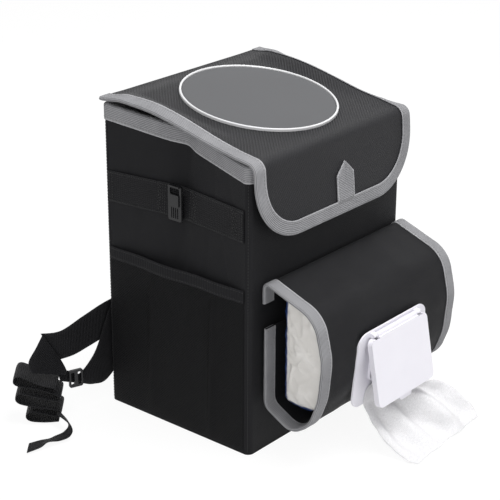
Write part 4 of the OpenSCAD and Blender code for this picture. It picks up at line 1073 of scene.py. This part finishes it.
def smooth_rows(rows, n):
    """A smooth run through rows of numbers, with n steps between neighbours."""
    rows = np.asarray(rows, float)
    last = len(rows) - 1
    made_rows = []
    for i in range(last):
        p0, p1, p2, p3 = rows[max(i - 1, 0)], rows[i], rows[i + 1], rows[min(i + 2, last)]
        for k in range(n):
            t = k / n
            made_rows.append((2 * p1 + (p2 - p0) * t + (2 * p0 - 5 * p1 + 4 * p2 - p3) * t * t
                              + (3 * p1 - p0 - 3 * p2 + p3) * t ** 3) / 2)
    return np.array(made_rows + [rows[last]])


wipe_line = [(on_plate(-a, up, out), on_plate(b, up, out), folds) for a, b, up, out, folds in (
    (22, 22, 3, -1.8, 0), (23, 23, -3, 1.2, 0), (25, 25, -8, 3.2, 0), (28, 28, -17, 3.2, 0),
    (31, 31, -21, 1.2, 0), (34, 34, -26, 0.7, 0), (35, 36, -33, 0.7, 0), (35, 38, -38.5, 1.3, 0))]
wipe_line += [((-29, -157, 35), (48, -160, 37), 1.5), ((-32, -165, 25), (66, -168, 35), 4),
              ((-31, -175, 12), (76, -177, 28), 6), ((-30, -190, 4), (81, -188, 19), 6),
              ((-30, -204, 1.5), (87, -199, 8), 4), ((-26, -213, 1.2), (84, -207, 1.2), 1.5)]
wipe_rows = smooth_rows([[*a, *b, folds] for a, b, folds in wipe_line], 9)
points = []
for r, row in enumerate(wipe_rows):
    a, b, folds = row[:3], row[3:6], row[6]
    line = []
    for t in np.linspace(0, 1, 110):
        p = a + (b - a) * t
        wave = math.sin(math.radians(1100 * t + 60)) + 0.5 * math.sin(math.radians(620 * t))
        fine = min(1, folds / 2) * (1.1 * soft(p[0], r * 0.8, p[2] * 0.5, 9, 81)
                                    + 0.5 * soft(p[0], r, p[2], 4, 82))
        line.append((p[0], p[1] - 0.8 * folds * wave - fine,
                     max(p[2] + 0.5 * folds * wave + 0.5 * fine, 0.7)))
    points.append(line)
points = np.array(points)
wipe_out = normals(points)
nonwoven, tree, place = stuff("nonwoven_wipe")
fibres = cloudy(tree, place["UV"], 900.0, 4.0, Roughness=0.7, Distortion=1.2)
dense = reckoned(tree, "MULTIPLY_ADD", banded(tree, place["UV"], 0.0014, distortion=1.5), 0.12, fibres)
dressed(tree, mixed(tree, fibres, (0.78, 0.775, 0.79), (0.9, 0.895, 0.91)), 0.85, (0.3, 0.0002, dense),
        {"Alpha": ranged(tree, dense, 0.6, 0.92, start=0.3, end=0.8), "Specular IOR Level": 0.2})
wipe = fitted(wall("hanging_wipe", points, points - 0.3 * wipe_out, sharp=180), nonwoven, "bin",
              "wipe_cloth", "wipe")

# ---- Hanging straps ----
# 36 mm polypropylene webbing. The upper strap is sewn to a patch on the back, goes through a slide
# and comes back as the lower one; the long loose end is folded into a bundle beside the bin.
corner = np.array((-half_wide, half_deep, 0.0))
strap_wide, strap_thick = 36.0, 1.4
strap_y = half_deep + 0.15
upper_high, upper_low = 102.0, 66.0


def beside(out, behind, up):
    """Place out to the left of the bin's back corner, behind it and up from the floor."""
    return tuple(corner + (-out, behind, up))


def ribbon(name, rows, n=9, across=13):
    """Webbing through rows given by their two edges, with firm rounded edges."""
    run = smooth_rows([[*a, *b] for a, b in rows], n)
    t = np.linspace(0, 1, across)[None, :, None]
    face = run[:, None, :3] * (1 - t) + run[:, None, 3:] * t
    out = normals(face)
    lip = 0.4 * np.abs(2 * t - 1) ** 6
    edge = np.abs(2 * t[:, :, 0] - 1) ** 8
    return wall(name, face - lip * out, face - (strap_thick - lip) * out, across=along(face), seam=edge)


def beside_rows(*rows):
    """Rows of webbing beside that corner: out, behind and up of one edge and then of the other."""
    return [(beside(*row[:3]), beside(*row[3:])) for row in rows]


out_y, in_y = strap_y + 1.5, strap_y + strap_thick
behind_rows = [((x, y, upper_high), (x, y, upper_low)) for x, y in (
    (-16, out_y), (-32, out_y), (-70.5, out_y + 2.5), (-110, out_y + 2.5))]
upper = joined(
    "upper_webbing",
    ribbon("upper_run", behind_rows + beside_rows(
        (26.5, 7.5, 95, 21.5, 6.5, 62), (51.5, 12.5, 87, 39.5, 8.5, 59),
        (69.5, 20.5, 88, 53.5, 14.5, 57))),
    ribbon("upper_turn", beside_rows(
        (69.5, 17.5, 88, 52.5, 12, 57), (77.5, 18.5, 77, 49.5, 10.5, 49),
        (87.5, 18.5, 66, 48.5, 9.5, 44), (87.5, 15.5, 56, 51.5, 8.5, 42))))
fitted(upper, webbing, "bin", "webbing", "upper_strap")
fitted(ribbon("lower_webbing", beside_rows(
    (54.5, 16.5, 46, 55.5, 12.5, 36), (41.5, 11.5, 42, 43.5, 10.5, 31), (33.5, 9.5, 37, 33.5, 9.5, 27),
    (22.5, 5.5, 48, 18.5, 6.5, 21), (13.5, 3.5, 62, 0.5, 4, 22)) + [
        ((-113, in_y + 0.6, 91), (-84, in_y + 0.6, 50)), ((-96, in_y, 116), (-66, in_y, 92))]),
       webbing, "bin", "webbing", "lower_strap")
bundle_along, bundle_across = np.array((0.64, -0.77, 0)), np.array((0.71, 0.59, 0.08))
bundle_rows = []
for shift, up in ((16, 37), (0, 41), (-18, 49), (-23, 46), (-20, 41), (0, 37), (15, 32), (20, 28), (16, 24),
                  (0, 27), (-17, 31), (-22, 27), (-18, 22), (0, 18), (15, 16), (20, 12), (15, 8), (0, 11),
                  (-9, 12), (-13, 8), (-9, 4), (4, 3), (17, 4)):
    place_a = np.array(beside(81.5, 13.5, up)) + shift * bundle_along
    bundle_rows.append((place_a, place_a + 0.8 * strap_wide * bundle_across))
bundle = joined(
    "folded_end",
    ribbon("folded_run", bundle_rows, n=7),
    ribbon("tail_run", beside_rows(
        (73.5, -0.5, 13, 65.5, 4.5, 12), (76.5, -19.5, 12, 69.5, -10.5, 9),
        (79.5, -28.5, 8, 74.5, -17.5, 6), (86.5, -30.5, 4, 82.5, -18.5, 3),
        (96.5, -27.5, 3, 91.5, -16.5, 2), (108.5, -25.5, 6, 98.5, -16.5, 2.2),
        (115.5, -23.5, 3, 106.5, -12.5, 2.4), (129.5, -19.5, 1.8, 116.5, -8.5, 2))))
fitted(bundle, webbing, "bin", "webbing", "strap_bundle")
fitted(softened("strap_slide", "strap_slider", 0.4), clip_plastic, "bin", "black_plastic", "strap_slider")

patch_low, patch_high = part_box("strap_patch")
x0, x1, z0, z1, patch_y = (c * 1000 for c in (
    patch_low.x, patch_high.x, patch_low.z, patch_high.z, patch_low.y))


def on_patch(z, x):
    edge = min(x - x0, x1 - x, z - z0, z1 - z)
    swell = 0.5 * ease((edge - 2.5) / 6) * (0.6 + 0.4 * soft(x, z, 0, 12, 91)) + 0.3 * ease(edge / 1.5)
    return (x, patch_y + 0.4 + swell, z), (x, patch_y, z)


fitted(wall("back_patch", *grids(np.linspace(patch_low.z, patch_high.z, 30) * 1000,
                                 np.linspace(patch_low.x, patch_high.x, 30) * 1000, on_patch)),
       oxford, "bin", "black_cloth", "strap_patch")
stitched("back_patch_stitches", [[(x, patch_y + 0.85, z) for x, z in (
    (x0 + 3, z0 + 3), (x1 - 3, z0 + 3), (x1 - 3, z1 - 3), (x0 + 3, z1 - 3))]],
         "dark_thread", "bin", closed=True)

# ---- Lid ----
# One sheet of the cloth over a stiff board, lined, hinged on its back seam and folded down in
# front into a soft flap with round corners. Its side margins arch up behind the middle, and the
# right one hangs down beside the bin.
lid_wide, flap_round, margin = 227.0, 55.0, 12.5
lid_half_wide = lid_wide / 2
hinge_y, hinge_z = half_deep + 1.6, back_high + 5.8
slope = math.radians(0.77) + math.atan((back_high - front_high) / (2 * straight))
lean, fold_round = math.radians(5), 10.0
crown, flap_long = 3.9, 67
fold_y = -half_deep - 7 + fold_round * math.cos(lean)
fold_from_y = fold_y - fold_round * math.sin(slope)
top_long = (hinge_y - fold_from_y) / math.cos(slope)
fold_z = hinge_z + crown - (hinge_y - fold_from_y) * math.tan(slope) - fold_round * math.cos(slope)
flap_from = top_long + fold_round * (math.pi / 2 - slope - lean)
lid_long = flap_from + flap_long
corner_from = lid_long - flap_round
board_edge = 80.0
lid_thin, lid_thick, lining_thick = 1.75, 3.7, 0.6
arch_peak, arch_behind, arch_before = 64, 75, 100
arch_left, arch_right = 8, 5.5


def lid_middle(s):
    """Middle line of the lid's outer face, s along it from the hinge, and its outward direction."""
    if s < top_long:
        a = math.pi / 2 + slope
        return (hinge_y - s * math.cos(slope), hinge_z - s * math.sin(slope) + crown * ease(s / 26)), a
    a = min(math.pi - lean, math.pi / 2 + slope + (s - top_long) / fold_round)
    if s < flap_from:
        return (fold_y + fold_round * math.cos(a), fold_z + fold_round * math.sin(a)), a
    down = s - flap_from
    return (fold_y - fold_round * math.cos(lean) - down * math.sin(lean),
            fold_z + fold_round * math.sin(lean) - down * math.cos(lean)), a


def arched(s):
    """The arch of the side margins, from 0 at its ends to 1 at its peak."""
    t = (s - arch_peak) / (arch_behind if s < arch_peak else arch_before)
    return 0 if abs(t) >= 1 else (1 + math.cos(math.pi * t)) / 2


def on_lid(s, x):
    """Point of the lid's outer face, s along it and x across it."""
    (y, z), a = lid_middle(s)
    past = max(0, abs(x) - (lid_half_wide - margin))
    bulge = arch_left * arched(s) if x < 0 else \
        arch_right * arched(s) + 0.9 * math.exp(-((s - 158) / 16) ** 2)
    lift = bulge * ease((abs(x) - board_edge) / (lid_half_wide - margin - board_edge))
    turned = 34 - 5 * ease((s - 90) / 60) - 9 * ease((s - 135) / 25)
    droop = math.radians(13 * arched(s) if x < 0 else
                         turned * ease(s / 60) * ease((top_long + 16 - s) / 36))
    rise = lift - past * math.sin(droop)
    return np.array((math.copysign(abs(x) - past * (1 - math.cos(droop)), x),
                     y + rise * math.cos(a), z + rise * math.sin(a)))


def lid_normal(s, x):
    n = np.cross(on_lid(s + 0.4, x) - on_lid(s - 0.4, x), on_lid(s, x + 0.4) - on_lid(s, x - 0.4))
    return n / np.linalg.norm(n)


def lid_edge(s):
    """Half width of the lid s along it."""
    if s <= corner_from:
        return lid_half_wide
    return lid_half_wide - flap_round + math.sqrt(max(0, flap_round ** 2 - (s - corner_from) ** 2))


lid_steps = np.concatenate([np.linspace(0, top_long, 78)[:-1], np.linspace(top_long, flap_from, 12)[:-1],
                            np.linspace(flap_from, corner_from, 6)[:-1],
                            corner_from + flap_round * np.sin(np.linspace(0, math.pi / 2, 34))])
badge_x, badge_s, badge_reach = 3.5, 91.0, 75


def lid_layers(s, share):
    """Places of the cloth's and the lining's two faces, the seam's wear and the place across."""
    x = share * lid_edge(s)
    p, n = on_lid(s, x), lid_normal(s, x)
    edge = min(lid_half_wide - abs(x), lid_long - s) if s < corner_from else \
        min(lid_edge(s) - abs(x),
            flap_round - math.hypot(max(0, abs(x) - lid_half_wide + flap_round), s - corner_from))
    free = ease((edge - margin - 1) / 12) * ease(s / 25)
    badge = ease((math.hypot(x - badge_x, s - badge_s) - badge_reach) / 10)
    stir = 0.35 * soft(x, s, 0, 44, 101) + 0.15 * soft(x * 0.4, s, 0, 12, 102)
    dip = 0.35 * (1 - ease(abs(edge - margin) / 3.5)) * (0.7 + 0.3 * soft(x, s, 0, 5, 103))
    bow = (min(0.3, stir) * free - 0.1) * badge - dip * ease(s / 14)
    deep = lid_thin + (lid_thick - lid_thin) * ease((101 - abs(x)) / 21) * ease(s / 9) * \
        ease((top_long - s) / 4.6)
    slack = 0.25 * abs(soft(x, s, 0, 26, 104)) * ease((edge - 14) / 12) * ease(s / 30) * \
        ease((corner_from - s) / 30)
    return (p + n * bow, p - n * (cloth_thick + 0.1 * (bow < -0.3)), p - n * (deep - lining_thick),
            p - n * (deep + slack), 0.5 * ease(1 - abs(edge - margin - 1) / 2.0), x)


cover_out, cover_in, lining_out, lining_in, seam, across = grids(
    lid_steps, np.linspace(-1, 1, 96), lid_layers)
across = np.array(across)
lid_cloth = woven("lid_twill_cloth", (0.003, 0.003, 0.004), (0.022, 0.022, 0.025), 0.0009,
                  roughness=0.5, shine=0.2, depth=0.0003, twill=0.0026)
ribbed = [[1 - 0.85 * ease((s - top_long + 15) / 25)] for s in lid_steps]
fitted(wall("lid_cloth", cover_out, cover_in, across=across, seam=seam, ribbed=ribbed), lid_cloth,
       "lid", "black_cloth", "lid_cover")
lining_cloth = woven("black_lining", (0.007, 0.007, 0.008), (0.016, 0.016, 0.018), 0.0008,
                     roughness=0.5, depth=0.0001)
fitted(wall("lid_inside", lining_out, lining_in, across=across), lining_cloth, "lid", "black_cloth",
       "lid_lining")

# Tape round the sides and the flap: the places of its edge and of its inner line
edge_line = [((s, -lid_half_wide), (s, margin - lid_half_wide)) for s in np.linspace(0, corner_from, 150)]
for a in np.radians(np.linspace(0, 90, 44)[1:]):
    edge_line.append(tuple((corner_from + r * math.sin(a), -(lid_half_wide - flap_round + r * math.cos(a)))
                           for r in (flap_round, flap_round - margin)))
edge_line += [((lid_long, x), (lid_long - margin, x)) for x in np.linspace(-58.5, 0, 24)[1:]]
edge_line += [tuple((s, -x) for s, x in pair) for pair in edge_line[-2::-1]]


def lid_tape_line(inset, depth, waver=0.0):
    """Line along the lid's edge, inset from it and depth below the outer face."""
    points = []
    for k, ((s0, x0), (s1, x1)) in enumerate(edge_line):
        edge, root = on_lid(s0, x0), on_lid(s1, x1)
        away = (edge - root) / np.linalg.norm(edge - root)
        n = lid_normal((s0 + s1) / 2, (x0 + x1) / 2)
        stir = waver * (0.6 * soft(k * 1.6, depth, 0, 5, 111) + 0.5 * soft(k * 1.6, inset, 0, 15, 112))
        points.append(edge - away * (inset + 0.5 * stir) - n * (depth - stir))
    return points


under_tape = lid_thin + 0.45 + tape_thick
over, below = ([(o, d if k < len(line) / 2 else min(d, 9)) for k, (o, d) in enumerate(line)]
               for line in fold_over(-tape_out, under_tape, margin, 1.8, tape_thick, steps=4))
fitted(wall("lid_tape", [lid_tape_line(d, o, 0.16) for o, d in over],
            [lid_tape_line(d, o) for o, d in below], seam=worn_edge(over, 10.5, 2)),
       grey_tape, "lid", "grey_tape", "lid_binding")
stitched("lid_stitches", [lid_tape_line(10.2, -tape_out)[1:-1], lid_tape_line(7.5, under_tape)[1:-1]],
         "grey_thread", "lid")


def on_flap(x, up, out):
    """Place on the hanging flap: x across, up from its fold and out from its face."""
    (y, z), _ = lid_middle(flap_from)
    return (x, y + up * math.sin(lean) - out * math.cos(lean),
            z + up * math.cos(lean) + out * math.sin(lean))


# Pull tab: the same tape, folded double with its corners tucked to a point
tab_foot, tab_long, tab_wide, tab_x = margin - flap_long + 0.15, 36.0, 25.0, 9
tab_point = tab_long - tab_wide / 2


def on_tab(up, t):
    half = min(tab_wide / 2, tab_long - up + 0.25)
    round_off = 0.45 * abs(t) ** 8 + (0.35 * ease((up - tab_long + 2) / 2))
    tuck = 0.55 * ease((up - 6) / 12) * (1 - ease(abs(t) * half / 0.9))
    lift = 1.6 - round_off - tuck + 0.12 * soft(t * half, up, 0, 6, 121)
    return (on_flap(tab_x + t * half, tab_foot + up, 0.15 + lift),
            on_flap(tab_x + t * half, tab_foot + up, 0.15 + 0.25 * abs(t) ** 8), abs(t) ** 8)


tab_rows = np.concatenate([np.linspace(0, tab_point, 16), np.linspace(tab_point, tab_long, 14)[1:]])
fitted(sewn_wall("pull_loop", tab_rows, np.linspace(-1, 1, 25), on_tab), grey_tape, "lid", "grey_tape",
       "pull_tab")
stitched("pull_loop_stitches", [[on_flap(tab_x + x, tab_foot + up, 1.75) for x, up in (
    (-10, 1.5), (-10, 22), (0, 32), (10, 22), (10, 1.5))]], "grey_thread", "lid")

# Hook patch inside the flap, which meets the loop patch on the front
hook_long, hook_high, hook_up, hook_gap, hook_thick = 0.06, 0.02, 26.5, 0.15, 0.6
cell = bmesh.new()
bmesh.ops.create_grid(cell, x_segments=30, y_segments=10, size=0.5)
bmesh.ops.scale(cell, vec=(hook_long, hook_high, 1), verts=cell.verts)
for v in cell.verts:
    v.co = Vector(on_flap(v.co.x * 1000, hook_up - flap_long + v.co.y * 1000,
                          -lid_thin - hook_gap - hook_thick)) * mm
with_pile("flap_hook_patch", cell, Vector((0, -math.cos(lean), math.sin(lean))) * 0.0006, 0.0006,
          "flap_hook", "lid")

# ---- Badge ----
# Round soft-vinyl badge, satin grey and quite plain, a little domed and with a rounded edge.
# It is welded to the lid inside a raised pale rim.
badge_round, badge_lift = 72.15, 0.15
(badge_y, badge_z), _ = lid_middle(badge_s)


def on_badge(a, b, up):
    """Place on the badge, a across and b towards the hinge from its middle."""
    return (badge_x + a, badge_y + b * math.cos(slope) - up * math.sin(slope),
            badge_z + b * math.sin(slope) + up * math.cos(slope))


def badge_faces(r, a):
    """Top and underside of the badge at a share of its radius and an angle, with its rounded edge."""
    high = 1.1 + 0.7 * math.sqrt(max(0, 1 - ((r - 0.965) / 0.035) ** 2)) if r > 0.965 else \
        1.8 + 0.35 * (1 - r * r)
    x, y = badge_round * r * math.cos(a), badge_round * r * math.sin(a)
    return on_badge(x, y, badge_lift + high), on_badge(x, y, badge_lift)


outer, inner = grids(np.concatenate([[1.0, 0.996, 0.99, 0.98, 0.965], np.linspace(0.94, 0, 26)]),
                     np.radians(np.linspace(0, 360, 145)[:-1]), badge_faces)
vinyl, tree, place = stuff("grey_vinyl")
pores = put(tree, "ShaderNodeTexVoronoi", {"feature": "DISTANCE_TO_EDGE"}, {
    "Vector": place["Object"], "Scale": 950.0})
cloud = cloudy(tree, place["Object"], 16.0, 4.0)
dressed(tree, mixed(tree, cloud, (0.068, 0.069, 0.073), (0.088, 0.09, 0.095)),
        ranged(tree, cloud, 0.4, 0.52), (0.2, 0.0001, pores.outputs["Distance"]), {"Specular IOR Level": 0.3})
fitted(wall("badge_disc", outer, inner, ring=True, pole=True), vinyl, "lid", "badge_grey", "badge_face")
coated(drawn["badge_rim"], moulded("pale_rim_vinyl", (0.66, 0.66, 0.67), (0.78, 0.78, 0.79), 0.35))

# ---- Dispenser lid ----
# The flip top turns on a moulded pin between the ears of the plate, and has a thumb latch at
# its lower edge. The wipe holds it a little open.
fitted(softened("dispenser_flip_top", "dispenser_lid", 0.4), white_plastic, "dispenser_lid",
       "white_plastic", "dispenser_lid")
